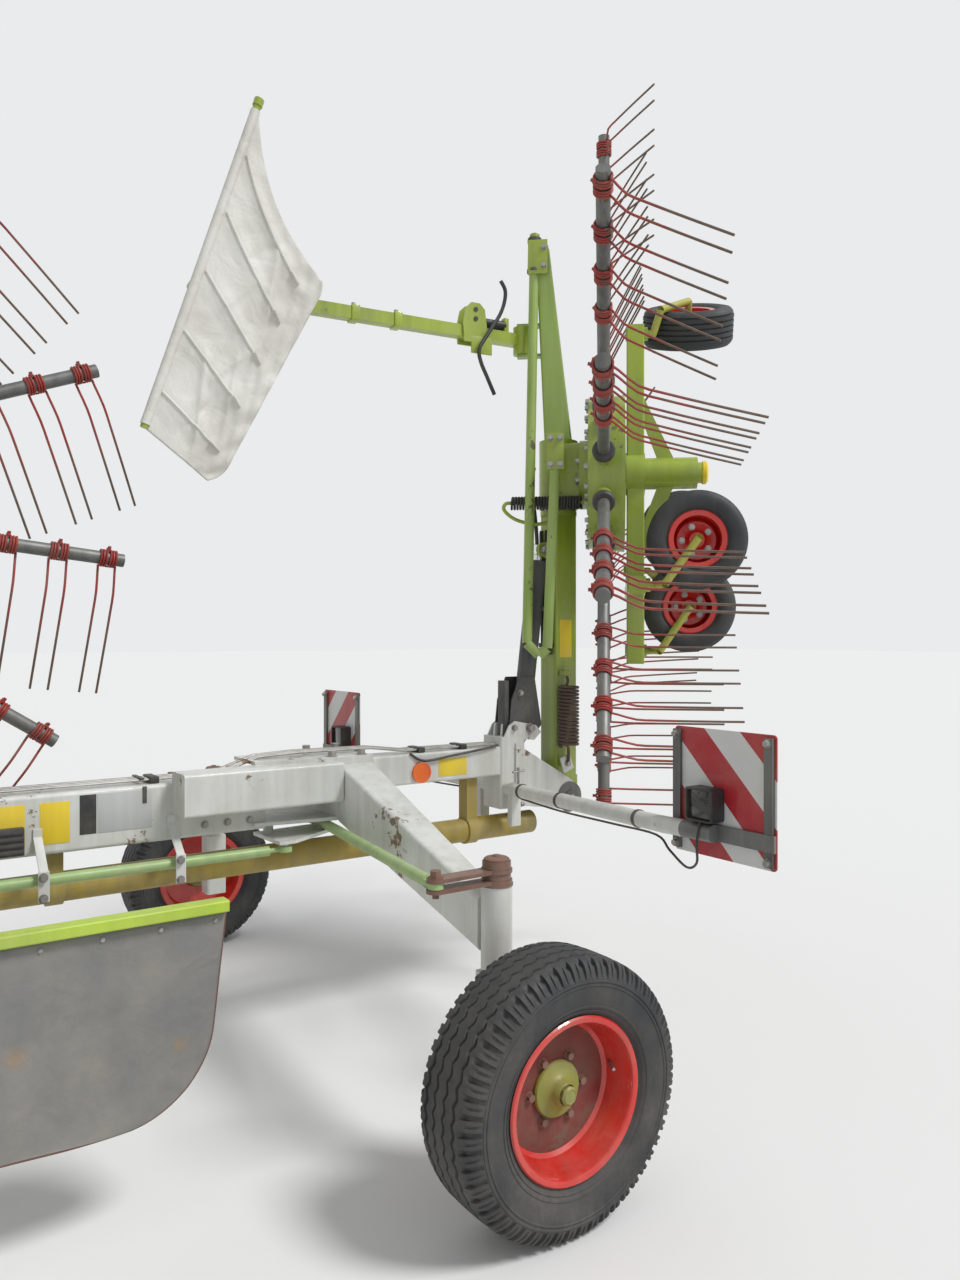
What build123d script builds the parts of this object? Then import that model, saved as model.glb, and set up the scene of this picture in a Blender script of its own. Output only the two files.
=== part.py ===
"""Folded twin rotor rake, parked on its wheels and its jack.

Millimetres. +X points forward, +Y to the machine's left, +Z up, and the ground is z = 0.
The origin lies on the ground under the middle of the whole machine as it stands.
"""

from math import cos, hypot, radians, sin
import os

from build123d import *

os.makedirs("parts", exist_ok=True)

# Overall places
axle_x = -1290.0  # the axle, counted from the middle of the machine
ground_level = 65.0  # on the scale of the heights below; keep() sets it to zero
seat_gap = 0.3  # between pieces that turn or rest on each other
bead_share = 0.8  # of a tyre's width, at its beads
low = (Align.CENTER, Align.CENTER, Align.MIN)

# Road wheels
tyre_diameter = 700.0
tyre_width = 232.0
bead_diameter = 381.0
rim_flange_diameter = 416.0
rim_wall = 8.0
dish_depth = 88.0  # how far the disc lies inside the outer flange
hub_diameter = 150.0
wheel_track = 2750.0
axle_height = ground_level + tyre_diameter / 2
stub_radius = 26.0

# Steering lever under the axle bracket
lever_z = 848.0
lever_long = 150.0
lever_short = 30.0
headstock_lever = 75.0

# Knuckles and kingpins
kingpin_inset = 245.0  # from the wheel's middle plane
kingpin_y = wheel_track / 2 - kingpin_inset
kingpin_radius = 30.0
sleeve_radius = 44.0
sleeve_bottom = 640.0
sleeve_top = 880.0
knuckle_thickness = 90.0
steering_arm = 200.0
steering_plate = 10.0
steering_eye_gap = 19.0

# Main beam
beam_width = 150.0
beam_height = 190.0
beam_bottom = 890.0
beam_rear = 240.0  # ahead of the axle
beam_front = 4860.0
jack_x = 4500.0
jack_y = 170.0
rear_beam_size = 120.0
rear_beam_height = 1050.0
rear_beam_end = -800.0
side_box_width = 130.0
side_box_height = 140.0
side_box_front = 570.0
bracket_front = 290.0
bracket_plate = 12.0
bracket_bottom = 906.0
leg_root_y = 150.0

# Rear post and lift pivots
post_size = 130.0
post_x = -860.0
post_bottom = 850.0
post_top = 1150.0
rear_pivot_x = -1160.0
rear_pivot_height = 870.0
front_pivot_x = 2050.0
front_pivot_y = -180.0
front_pivot_height = 880.0
pivot_pin_radius = 25.0
cheek_thickness = 14.0

# Lift arms and their cylinders, in the arm's own frame with its pivot at the origin
arm_width = 110.0
arm_depth = 120.0
arm_side_gap = 5.0
rotor_reach = 1410.0  # from the lift pivot to the rotor's centre, along the arm
cylinder_base = {"rear": (210.0, 310.0), "front": (210.0, 290.0)}
cylinder_eye = {"rear": (110.0, 1075.0), "front": (110.0, 900.0)}
barrel_radius = 40.0
rod_radius = 20.0
eye_radius = 30.0
eye_width = 36.0
cylinder_pin_radius = 15.0

# Rotors, in the rotor's working frame: x forward, y left, z up, arms at z = 0
rotor_offset = 200.0  # from the arm's axis down to the plane of the tine arms
rear_turn = 42.5
arm_count = 13
drum_radius = 340.0
drum_top = 65.0
drum_bottom = -88.0
spindle_radius = 45.0
spindle_bottom = -420.0
boss_radius = 36.0
boss_end = 400.0
carrier_radius = 20.0
carrier_end = 470.0
tine_arm_radius = 24.0
tine_arm_end = 1450.0
coil_radius = 34.0
coil_length = 66.0
tine_pairs = 4
tine_first = 890.0
tine_pitch = 168.0
tine_spread = 72.0
tine_wire = 9.0
tine_length = 500.0
tine_kink = 118.0
tine_kink_side = 42.0
tine_tip_side = 50.0

# Hinge of the rear curtain on the rear mast, in the head's frame
curtain_hinge_x = -600.0
curtain_hinge_z = 365.0
curtain_ear_root = 229.0

# Undercarriage below each rotor
chassis_size = 75.0
chassis_top = -98.0
small_tyre_diameter = 400.0
small_tyre_width = 165.0
small_bead_diameter = 200.0
small_flange_diameter = 236.0
small_rim_wall = 5.0
small_wheel_z = -374.0
small_stub_radius = 12.5
fork_radius = 16.0
castor_radius = 28.0


def on(base, x, y, z, normal=(0, 0, 1), along=(1, 0, 0)):
    """A plane given in the frame of another plane."""
    return Plane(base.location * Plane(origin=(x, y, z), x_dir=along, z_dir=normal).location)


def toward(start, end):
    """A plane at the first point that looks at the second one."""
    return Plane(origin=start, z_dir=Vector(*end) - Vector(*start))


def length_of(start, end):
    return (Vector(*end) - Vector(*start)).length


def keep(part, name):
    """Writes one named piece, with the ground brought to z = 0."""
    placed = part.moved(Location((0, 0, -ground_level)))
    placed.label = name
    export_step(placed, f"parts/{name}.step")


# Frames of the two rotors as they stand folded
turn_sin = sin(radians(rear_turn))
turn_cos = cos(radians(rear_turn))
rear_down = (-turn_cos, turn_sin)
arm_frames = {
    "rear": Plane(
        origin=(axle_x + rear_pivot_x, 0, rear_pivot_height), x_dir=(1, 0, 0), z_dir=(0, 0, 1)
    ),
    "front": Plane(
        origin=(axle_x + front_pivot_x, front_pivot_y, front_pivot_height),
        x_dir=(0, 1, 0),
        z_dir=(0, 0, 1),
    ),
}
rear_centre = (
    axle_x + rear_pivot_x + rotor_offset * rear_down[0],
    rotor_offset * rear_down[1],
    rear_pivot_height + rotor_reach,
)
front_centre = (
    axle_x + front_pivot_x,
    front_pivot_y - rotor_offset,
    front_pivot_height + rotor_reach - 290.0,
)
rotor_frames = {
    "rear": Plane(origin=rear_centre, x_dir=(0, 0, -1), z_dir=(turn_cos, -turn_sin, 0)),
    "front": Plane(origin=front_centre, x_dir=(1, 0, 0), z_dir=(0, 1, 0)),
}
# A head is modelled with its x toward the lift arm's root
head_frames = {
    "rear": rotor_frames["rear"],
    "front": Plane(origin=front_centre, x_dir=(0, 0, -1), z_dir=(0, 1, 0)),
}
reach = {"rear": rotor_reach, "front": rotor_reach - 290.0}
head_root = 160.0
first_arm = {"rear": 10.6, "front": 7.85}
missing_arm = {"rear": 5, "front": None}
folded_twist = {"rear": 62.0, "front": 75.0}


# Main beam with its boxes, the axle bracket, the rear post and its cheeks
with BuildPart() as main_beam:
    with BuildSketch(Plane.YZ.offset(axle_x + beam_rear)):
        with Locations((0, beam_bottom + beam_height / 2)):
            RectangleRounded(beam_width, beam_height, 14)
    extrude(amount=beam_front - beam_rear)
    with BuildSketch(Plane.YZ.offset(axle_x + rear_beam_end)):
        with Locations((0, rear_beam_height)):
            RectangleRounded(rear_beam_size, rear_beam_size, 10)
    extrude(amount=beam_rear - rear_beam_end)
    with BuildSketch(Plane.YZ.offset(axle_x)):
        with Locations(((beam_width + side_box_width) / 2, rear_beam_height)):
            RectangleRounded(side_box_width, side_box_height, 10)
    extrude(amount=side_box_front)
    for height in (bracket_bottom, rear_beam_height + side_box_height / 2):
        with BuildSketch(Plane.XY.offset(height)):
            with BuildLine():
                Polyline(
                    (axle_x - 150, -leg_root_y),
                    (axle_x - 150, leg_root_y),
                    (axle_x, leg_root_y),
                    (axle_x + bracket_front, 100),
                    (axle_x + bracket_front, -100),
                    (axle_x, -leg_root_y),
                    close=True,
                )
            make_face()
        extrude(amount=bracket_plate)
    with BuildSketch(Plane.XY.offset(bracket_bottom)):
        with Locations((axle_x - 75, 0)):
            Rectangle(150, 2 * leg_root_y)
    extrude(amount=rear_beam_height + side_box_height / 2 - bracket_bottom)
    with BuildSketch(Plane.XY.offset(post_bottom)):
        with Locations((axle_x + post_x, 0)):
            RectangleRounded(post_size, post_size, 12)
    extrude(amount=post_top - post_bottom)
    for side in (-1, 1):
        inner = side * (arm_width / 2 + arm_side_gap)
        with BuildSketch(Plane.XZ.offset(-inner)):
            with BuildLine():
                Polyline(
                    (axle_x + post_x - 10, post_top - 30),
                    (axle_x + rear_pivot_x - 20, rear_pivot_height + 70),
                    (axle_x + rear_pivot_x - 62, rear_pivot_height + 10),
                    (axle_x + rear_pivot_x - 40, rear_pivot_height - 58),
                    (axle_x + post_x - 10, post_bottom + 10),
                    close=True,
                )
            make_face()
        extrude(amount=-side * cheek_thickness)
    # Eye plates for the rear cylinder, and the rear pivot pin
    base_x = axle_x + rear_pivot_x + cylinder_base["rear"][0]
    base_z = rear_pivot_height + cylinder_base["rear"][1]
    for side in (-1, 1):
        with BuildSketch(Plane.XZ.offset(-side * (eye_width / 2 + 2))):
            with BuildLine():
                Polyline(
                    (axle_x + post_x + 40, post_top - 60),
                    (axle_x + post_x + 30, base_z + 20),
                    (base_x + 10, base_z + 32),
                    (base_x - 28, base_z + 14),
                    (base_x - 30, base_z - 24),
                    (axle_x + post_x - 30, post_top - 100),
                    close=True,
                )
            make_face()
        extrude(amount=-side * 12)
    with BuildSketch(Plane.XZ.offset(-arm_width / 2 - arm_side_gap - cheek_thickness)):
        with Locations((axle_x + rear_pivot_x, rear_pivot_height)):
            Circle(pivot_pin_radius)
    extrude(amount=arm_width + 2 * arm_side_gap + 2 * cheek_thickness)
    with BuildSketch(Plane.XZ.offset(-eye_width / 2 - 14)):
        with Locations((base_x, base_z)):
            Circle(cylinder_pin_radius)
    extrude(amount=eye_width + 28)
    # Bracket of the front lift arm on the beam's right side
    pivot_x = axle_x + front_pivot_x
    base_y = front_pivot_y + cylinder_base["front"][0]
    base_z = front_pivot_height + cylinder_base["front"][1]
    for side in (-1, 1):
        inner = pivot_x + side * (arm_width / 2 + arm_side_gap)
        with BuildSketch(Plane.YZ.offset(inner)):
            with BuildLine():
                Polyline(
                    (-beam_width / 2 + 10, beam_bottom + beam_height - 10),
                    (front_pivot_y, front_pivot_height + 62),
                    (front_pivot_y - 58, front_pivot_height),
                    (front_pivot_y, front_pivot_height - 62),
                    (-beam_width / 2 + 10, beam_bottom + 12),
                    close=True,
                )
            make_face()
        extrude(amount=side * cheek_thickness)
        with BuildSketch(Plane.YZ.offset(pivot_x + side * (eye_width / 2 + 2))):
            with BuildLine():
                Polyline(
                    (base_y - 45, beam_bottom + beam_height - 10),
                    (base_y - 28, base_z + 18),
                    (base_y, base_z + 32),
                    (base_y + 28, base_z + 18),
                    (base_y + 40, beam_bottom + beam_height - 10),
                    close=True,
                )
            make_face()
        extrude(amount=side * 12)
    with BuildSketch(Plane.YZ.offset(pivot_x - arm_width / 2 - arm_side_gap - cheek_thickness)):
        with Locations((front_pivot_y, front_pivot_height)):
            Circle(pivot_pin_radius)
    extrude(amount=arm_width + 2 * arm_side_gap + 2 * cheek_thickness)
    with BuildSketch(Plane.YZ.offset(pivot_x - eye_width / 2 - 14)):
        with Locations((base_y, base_z)):
            Circle(cylinder_pin_radius)
    extrude(amount=eye_width + 28)
    # Fork and swivel pin for the headstock
    swivel_x = axle_x + beam_front + 90
    for height in (beam_bottom - 10, beam_bottom + beam_height - 10):
        with BuildSketch(Plane.XY.offset(height)):
            with Locations((axle_x + beam_front - 40, 0)):
                Rectangle(160, beam_width - 10)
            with Locations((swivel_x, 0)):
                Circle(62)
        extrude(amount=20)
    with BuildSketch(Plane.XY.offset(beam_bottom - 10)):
        with Locations((swivel_x, 0)):
            Circle(kingpin_radius)
    extrude(amount=beam_height + 20)
    # Pivot of the centre steering lever, and the sleeve of the parking jack
    with BuildSketch(Plane.XY.offset(lever_z - 8)):
        with Locations((axle_x + steering_arm, 0)):
            Circle(18)
    extrude(amount=bracket_bottom - lever_z + 12)
    with BuildSketch(Plane.XY.offset(beam_bottom + 20)):
        with Locations((axle_x + 4500, jack_y / 2 + 20)):
            Rectangle(70, jack_y - 30)
    extrude(amount=beam_height - 40)
    with BuildSketch(Plane.XY.offset(beam_bottom - 250)):
        with Locations((axle_x + jack_x, jack_y)):
            Circle(42)
    extrude(amount=beam_height + 290)
    with BuildSketch(Plane.XY.offset(beam_bottom - 260)):
        with Locations((axle_x + jack_x, jack_y)):
            Circle(30 + seat_gap)
    extrude(amount=beam_height + 310, mode=Mode.SUBTRACT)
keep(main_beam.part, "main_beam")


# Axle legs with the kingpin sleeves
with BuildPart() as axle_legs:
    for side in (-1, 1):
        with BuildSketch(Plane.XZ.offset(-side * leg_root_y)):
            with Locations((axle_x - 79, 1000)):
                RectangleRounded(146, 210, 14)
        with BuildSketch(Plane.XZ.offset(-side * (kingpin_y - sleeve_radius + 12))):
            with Locations((axle_x, sleeve_bottom + 130)):
                RectangleRounded(84, 150, 14)
        loft()
        with BuildSketch(Plane.XY.offset(sleeve_bottom)):
            with Locations((axle_x, side * kingpin_y)):
                Circle(sleeve_radius)
        extrude(amount=sleeve_top - sleeve_bottom)
        with BuildSketch(Plane.XY.offset(sleeve_bottom)):
            with Locations((axle_x, side * kingpin_y)):
                Circle(kingpin_radius + seat_gap)
        extrude(amount=sleeve_top - sleeve_bottom, mode=Mode.SUBTRACT)
keep(axle_legs.part, "axle_legs")


# Steered knuckles, a kingpin through the sleeve with its lever on top and the stub axle below
def knuckle(side):
    foot = Plane(origin=(axle_x, side * kingpin_y, 0), x_dir=(1, 0, 0), z_dir=(0, 0, 1))
    with BuildPart() as part:
        with BuildSketch(foot.offset(sleeve_bottom - 50)):
            Circle(kingpin_radius)
        extrude(amount=sleeve_top + 100 - sleeve_bottom)
        with BuildSketch(foot.offset(sleeve_top + seat_gap)):
            Circle(sleeve_radius + 2)
        extrude(amount=8)
        for height in (sleeve_top + 8, sleeve_top + 8 + steering_plate + steering_eye_gap):
            with BuildSketch(foot.offset(height)):
                Circle(sleeve_radius)
                with Locations((steering_arm / 2, 0)):
                    Rectangle(steering_arm, 52)
                with Locations((steering_arm, 0)):
                    Circle(26)
            extrude(amount=steering_plate)
        with BuildSketch(foot.offset(sleeve_top + 8)):
            Circle(sleeve_radius - 4)
        extrude(amount=60)
        with BuildSketch(foot.offset(sleeve_bottom - seat_gap)):
            RectangleRounded(90, knuckle_thickness, 12)
        extrude(amount=-(sleeve_bottom - axle_height + 45))
        with BuildSketch(
            Plane(
                origin=(axle_x, side * (kingpin_y + knuckle_thickness / 2), axle_height),
                x_dir=(1, 0, 0),
                z_dir=(0, side, 0),
            )
        ):
            Circle(stub_radius)
        extrude(amount=wheel_track / 2 - kingpin_y - knuckle_thickness / 2 + 40)
    return part.part


for side_name, side in (("left", 1), ("right", -1)):
    keep(knuckle(side), f"knuckle_{side_name}")


# Wheels: a ring of tyre and a dished rim, both turned about the wheel's own z, which points outward
def tyre_ring(base, diameter, width, bead, flange, groove):
    crown = diameter / 2
    half = width / 2
    side = flange / 2 + 3
    with BuildPart() as tyre:
        with BuildSketch(on(base, 0, 0, 0, (0, -1, 0))):
            with BuildLine():
                Polyline(
                    (bead / 2 + seat_gap, -half * bead_share),
                    (side, -half * bead_share),
                    (side + 0.15 * (crown - side), -half * 0.95),
                    (bead / 2 + 0.55 * (crown - bead / 2), -half),
                    (crown - 0.15 * half, -half * 0.84),
                    (crown, -half * 0.62),
                    (crown, half * 0.62),
                    (crown - 0.15 * half, half * 0.84),
                    (bead / 2 + 0.55 * (crown - bead / 2), half),
                    (side + 0.15 * (crown - side), half * 0.95),
                    (side, half * bead_share),
                    (bead / 2 + seat_gap, half * bead_share),
                    close=True,
                )
            make_face()
            for place in (-0.36, 0.0, 0.36):
                with Locations((crown, place * half)):
                    Rectangle(2 * groove, 0.09 * width, mode=Mode.SUBTRACT)
        revolve(axis=Axis(base.origin, base.z_dir))
    return tyre.part


def dished_rim(base, bead, flange, width, wall, disc, hub_radius, hub_out, hub_in, bore):
    half = width * bead_share / 2 + wall / 2 + seat_gap
    with BuildPart() as rim:
        with BuildSketch(on(base, 0, 0, 0, (0, -1, 0))):
            with BuildLine():
                Polyline(
                    (bore, disc - hub_in),
                    (hub_radius, disc - hub_in),
                    (hub_radius, disc - wall / 2),
                    (bead / 2 - wall, disc - wall / 2),
                    (bead / 2 - wall, -half),
                    (flange / 2, -half - wall / 2),
                    (flange / 2, -half + wall / 2),
                    (bead / 2, -half + wall / 2),
                    (bead / 2, half - wall / 2),
                    (flange / 2, half - wall / 2),
                    (flange / 2, half + wall / 2),
                    (bead / 2 - wall, half),
                    (bead / 2 - wall, disc + wall / 2),
                    (hub_radius * 1.5, disc + wall / 2),
                    (hub_radius, disc + 2 * wall),
                    (hub_radius * 0.6, disc + hub_out),
                    (bore, disc + hub_out),
                    close=True,
                )
            make_face()
        revolve(axis=Axis(base.origin, base.z_dir))
    return rim.part


for side_name, side in (("left", 1), ("right", -1)):
    wheel_base = Plane(
        origin=(axle_x, side * wheel_track / 2, axle_height), x_dir=(1, 0, 0), z_dir=(0, side, 0)
    )
    tyre = tyre_ring(wheel_base, tyre_diameter, tyre_width, bead_diameter, rim_flange_diameter, 9)
    keep(tyre, f"tyre_{side_name}")
    keep(
        dished_rim(
            wheel_base,
            bead_diameter,
            rim_flange_diameter,
            tyre_width,
            rim_wall,
            tyre_width * bead_share / 2 - dish_depth,
            hub_diameter / 2,
            60,
            42,
            stub_radius + seat_gap,
        ),
        f"rim_{side_name}",
    )


# Steering linkage below the beam
with BuildPart() as centre_lever:
    with BuildSketch(Plane.XY.offset(lever_z)):
        with BuildLine():
            Polyline(
                (axle_x + steering_arm + 40, -40),
                (axle_x + steering_arm + 30, lever_long + 26),
                (axle_x + steering_arm - 30, lever_long + 26),
                (axle_x - 28, lever_short + 26),
                (axle_x - 28, -lever_short - 26),
                (axle_x + 30, -lever_short - 26),
                close=True,
            )
        make_face()
        with Locations((axle_x + steering_arm, 0)):
            Circle(18 + seat_gap, mode=Mode.SUBTRACT)
    extrude(amount=12)
    for x, y, drop in (
        (steering_arm, lever_long, -36),
        (0, lever_short, 34),
        (0, -lever_short, 34),
    ):
        with BuildSketch(Plane.XY.offset(lever_z + 6)):
            with Locations((axle_x + x, y)):
                Circle(10)
        extrude(amount=drop)
keep(centre_lever.part, "centre_lever")

rod_z = lever_z - 20
with BuildPart() as steering_rod:
    rear_eye = (axle_x + steering_arm, lever_long, rod_z)
    front_eye = (swivel_x, headstock_lever, rod_z)
    for eye in (rear_eye, front_eye):
        with Locations((eye[0], eye[1], rod_z - 9)):
            Cylinder(24, 18, align=low)
    with Locations(toward(rear_eye, front_eye)):
        Cylinder(8, length_of(rear_eye, front_eye), align=low)
    with Locations(toward(rear_eye, front_eye).offset(60)):
        Cylinder(17, length_of(rear_eye, front_eye) - 120, align=low)
    with Locations((rear_eye[0], rear_eye[1], rod_z - 24)):
        Cylinder(10 + seat_gap, 48, align=low, mode=Mode.SUBTRACT)
keep(steering_rod.part, "steering_rod")

tie_inner_z = lever_z + 32
tie_outer_z = sleeve_top + 8 + steering_plate + steering_eye_gap / 2


def tie_rod(side):
    inner_eye = (axle_x, side * lever_short, tie_inner_z)
    outer_eye = (axle_x + steering_arm, side * kingpin_y, tie_outer_z)
    with BuildPart() as rod:
        for eye in (inner_eye, outer_eye):
            with Locations((eye[0], eye[1], eye[2] - 8)):
                Cylinder(22, 16, align=low)
        with Locations(toward(inner_eye, outer_eye)):
            Cylinder(18, length_of(inner_eye, outer_eye), align=low)
        with Locations(
            (outer_eye[0], outer_eye[1], outer_eye[2] + 8),
            (outer_eye[0], outer_eye[1], outer_eye[2] - 8 - 20),
        ):
            Box(110, 110, 20, align=low, mode=Mode.SUBTRACT)
        with Locations((inner_eye[0], inner_eye[1], inner_eye[2] - 24)):
            Cylinder(10 + seat_gap, 48, align=low, mode=Mode.SUBTRACT)
    return rod.part


for side_name, side in (("left", 1), ("right", -1)):
    keep(tie_rod(side), f"tie_rod_{side_name}")


# Drive line in its long guard tube, carried by hangers under the beam
drive_z = 770.0
with BuildPart() as drive_line:
    with BuildSketch(Plane.YZ.offset(axle_x - 1000)):
        with Locations((0, drive_z)):
            Circle(48)
    extrude(amount=5560)
    for x, top in ((-700, rear_beam_height - 60), (900, beam_bottom), (2800, beam_bottom), (4100, beam_bottom)):
        with BuildSketch(Plane.YZ.offset(axle_x + x)):
            with Locations((0, (drive_z + top - seat_gap) / 2)):
                Rectangle(60, top - seat_gap - drive_z)
            with Locations((0, drive_z)):
                Circle(56)
        extrude(amount=50)
    with BuildSketch(Plane.YZ.offset(axle_x + 4560)):
        with Locations((0, drive_z - 20)):
            RectangleRounded(108, 108, 20)
    extrude(amount=190)
keep(drive_line.part, "drive_line")

with BuildPart() as input_shaft:
    with BuildSketch(Plane.YZ.offset(axle_x + 4750)):
        with Locations((0, drive_z)):
            Circle(17.4)
    extrude(amount=120)
keep(input_shaft.part, "input_shaft")


# Headstock that turns on the swivel pin and carries the two lower link pins
link_spread = 825.0
link_pin_radius = 14.0
link_pin_length = 80.0
link_z = 620.0
link_x = swivel_x + 150
shaft_opening = 200.0  # round the drive shaft to the tractor
with BuildPart() as headstock:
    with BuildSketch(Plane.XY.offset(beam_bottom + 10 + seat_gap)):
        with Locations((swivel_x, 0)):
            Circle(52)
            Circle(kingpin_radius + seat_gap, mode=Mode.SUBTRACT)
    extrude(amount=beam_height - 20 - 2 * seat_gap)
    with BuildSketch(Plane.XY.offset(beam_bottom + 40)):
        with Locations((swivel_x + 100, 0)):
            Rectangle(110, 70)
    extrude(amount=100)
    with BuildSketch(Plane.XY.offset(link_z - 40)):
        with Locations((link_x, 0)):
            RectangleRounded(60, 300, 8)
    extrude(amount=beam_bottom + 140 - link_z + 40)
    with BuildSketch(Plane.YZ.offset(link_x - 40)):
        with Locations((0, drive_z)):
            RectangleRounded(shaft_opening, shaft_opening, 20)
    extrude(amount=80, mode=Mode.SUBTRACT)
    with BuildSketch(Plane.XZ.offset(link_spread / 2)):
        with Locations((link_x, link_z)):
            Circle(40)
    extrude(amount=-link_spread)
    for side in (-1, 1):
        with BuildSketch(Plane.XZ.offset(-side * link_spread / 2)):
            with Locations((link_x, link_z)):
                Circle(link_pin_radius)
        extrude(amount=-side * link_pin_length)
    with BuildSketch(Plane.XY.offset(rod_z + 10)):
        with Locations((swivel_x, headstock_lever / 2)):
            Rectangle(50, headstock_lever)
        with Locations((swivel_x, headstock_lever)):
            Circle(25)
        with Locations((swivel_x, 0)):
            Circle(45)
    extrude(amount=12)
    with BuildSketch(Plane.XY.offset(rod_z + 10)):
        with Locations((swivel_x, 0)):
            Circle(30)
    extrude(amount=beam_bottom - 10 - seat_gap - rod_z - 10)
    with BuildSketch(Plane.XY.offset(rod_z + 10)):
        with Locations((swivel_x + 75, 0)):
            Rectangle(150, 40)
    extrude(amount=12)
keep(headstock.part, "headstock")


# Parking jack in its sleeve
with BuildPart() as parking_jack:
    with BuildSketch(Plane.XY.offset(ground_level)):
        with Locations((axle_x + jack_x, jack_y)):
            Circle(80)
    extrude(amount=12)
    with BuildSketch(Plane.XY.offset(ground_level + 12)):
        with Locations((axle_x + jack_x, jack_y)):
            Circle(30)
    extrude(amount=beam_bottom - 40 - ground_level)
keep(parking_jack.part, "parking_jack")


# Lamp arms out to the warning boards, their boards, lamps and reflectors
board_size = 400.0
board_x = -720.0
board_y = 1090.0
board_bottom = 880.0
board_sheet = 4.0
lamp_z = 935.0
lamp_tube = 28.0
strip_depth = 10.0
strip_width = 30.0
bracket_start = board_y + 170
lamp_size = (58.0, 110.0, 105.0)
board_front = axle_x + board_x - lamp_tube
with BuildPart() as lamp_arms:
    for side in (-1, 1):
        post_face = (axle_x + post_x + 30, side * (post_size / 2 + seat_gap), lamp_z)
        elbow = (axle_x + post_x + 30, side * 140, lamp_z)
        knee = (axle_x + board_x, side * (board_y - 25), lamp_z + 22)
        tip = (axle_x + board_x, side * (bracket_start + 20), lamp_z + 26)
        with Locations(toward(post_face, elbow)):
            Cylinder(lamp_tube, length_of(post_face, elbow), align=low)
        with Locations(elbow):
            Sphere(lamp_tube)
        for start, end in ((elbow, knee), (knee, tip)):
            with Locations(toward(start, end)):
                Cylinder(lamp_tube, length_of(start, end), align=low)
        with Locations(knee):
            Sphere(lamp_tube)
        with BuildSketch(Plane.YZ.offset(board_front + 2)):
            with Locations((side * (bracket_start + board_y + board_size) / 2, lamp_z + 26)):
                Rectangle(board_y + board_size - bracket_start, 1.8 * lamp_tube)
        extrude(amount=strip_depth)
        for y in (board_y + strip_width / 2, board_y + board_size - strip_width / 2 - 8):
            with Locations((board_front + strip_depth / 2, side * y, board_bottom + 10)):
                Box(strip_depth, strip_width, board_size - 20, align=low)
keep(lamp_arms.part, "lamp_arms")

with BuildPart() as warning_boards:
    for side in (-1, 1):
        with BuildSketch(Plane.YZ.offset(board_front - seat_gap)):
            with Locations((side * (board_y + board_size / 2), board_bottom + board_size / 2)):
                RectangleRounded(board_size, board_size, 12)
        extrude(amount=-board_sheet)
keep(warning_boards.part, "warning_boards")

with BuildPart() as tail_lamps:
    for side in (-1, 1):
        lamp_bottom = lamp_z + 26 + lamp_tube + 6
        with BuildSketch(Plane.YZ.offset(board_front)):
            with Locations((side * (board_y + 150), lamp_bottom + lamp_size[2] / 2)):
                RectangleRounded(lamp_size[1], lamp_size[2], 12)
        extrude(amount=lamp_size[0])
        with BuildSketch(Plane.YZ.offset(board_front + lamp_size[0])):
            with Locations((side * (board_y + 150), lamp_bottom + lamp_size[2] / 2)):
                RectangleRounded(lamp_size[1] - 14, lamp_size[2] - 14, 8)
        extrude(amount=-12, mode=Mode.SUBTRACT)
keep(tail_lamps.part, "tail_lamps")

with BuildPart() as reflectors:
    for side in (-1, 1):
        with BuildSketch(Plane.XZ.offset(-side * (rear_beam_size / 2 + seat_gap))):
            with Locations((axle_x - 410, rear_beam_height - 15)):
                Circle(41)
        extrude(amount=-side * 9)
keep(reflectors.part, "reflectors")


# Lift arm, in the arm's own frame
def lift_arm(base, reach_along, eye):
    top = reach_along - head_root
    with BuildPart() as arm:
        with BuildSketch(on(base, 0, 0, 60)):
            RectangleRounded(arm_depth, arm_width, 10)
        extrude(amount=top - 60)
        with BuildSketch(on(base, 0, -arm_width / 2, 0, (0, 1, 0))):
            Circle(62)
            with Locations((0, -45)):
                Rectangle(124, 90)
        extrude(amount=arm_width)
        with BuildSketch(on(base, 0, 0, top)):
            Circle(80)
        extrude(amount=-20)
        with BuildSketch(on(base, 0, 0, top)):
            Circle(40)
        extrude(amount=head_root + 90)
        for side in (-1, 1):
            with BuildSketch(on(base, 0, side * (eye_width / 2 + 2), 0, (0, side, 0))):
                with BuildLine():
                    Polyline(
                        (arm_depth / 2 - 6, -side * (eye[1] - 46)),
                        (eye[0] + 20, -side * (eye[1] - 26)),
                        (eye[0] + 30, -side * eye[1]),
                        (eye[0] + 20, -side * (eye[1] + 28)),
                        (arm_depth / 2 - 6, -side * (eye[1] + 38)),
                        close=True,
                    )
                make_face()
            extrude(amount=12)
            with BuildSketch(
                on(base, eye[0], side * (eye_width / 2 + 13), eye[1], (0, side, 0))
            ):
                Circle(cylinder_pin_radius)
            extrude(amount=12)
        with BuildSketch(on(base, 0, -arm_width / 2, 0, (0, 1, 0))):
            Circle(pivot_pin_radius + seat_gap)
        extrude(amount=arm_width, mode=Mode.SUBTRACT)
    return arm.part


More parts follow.
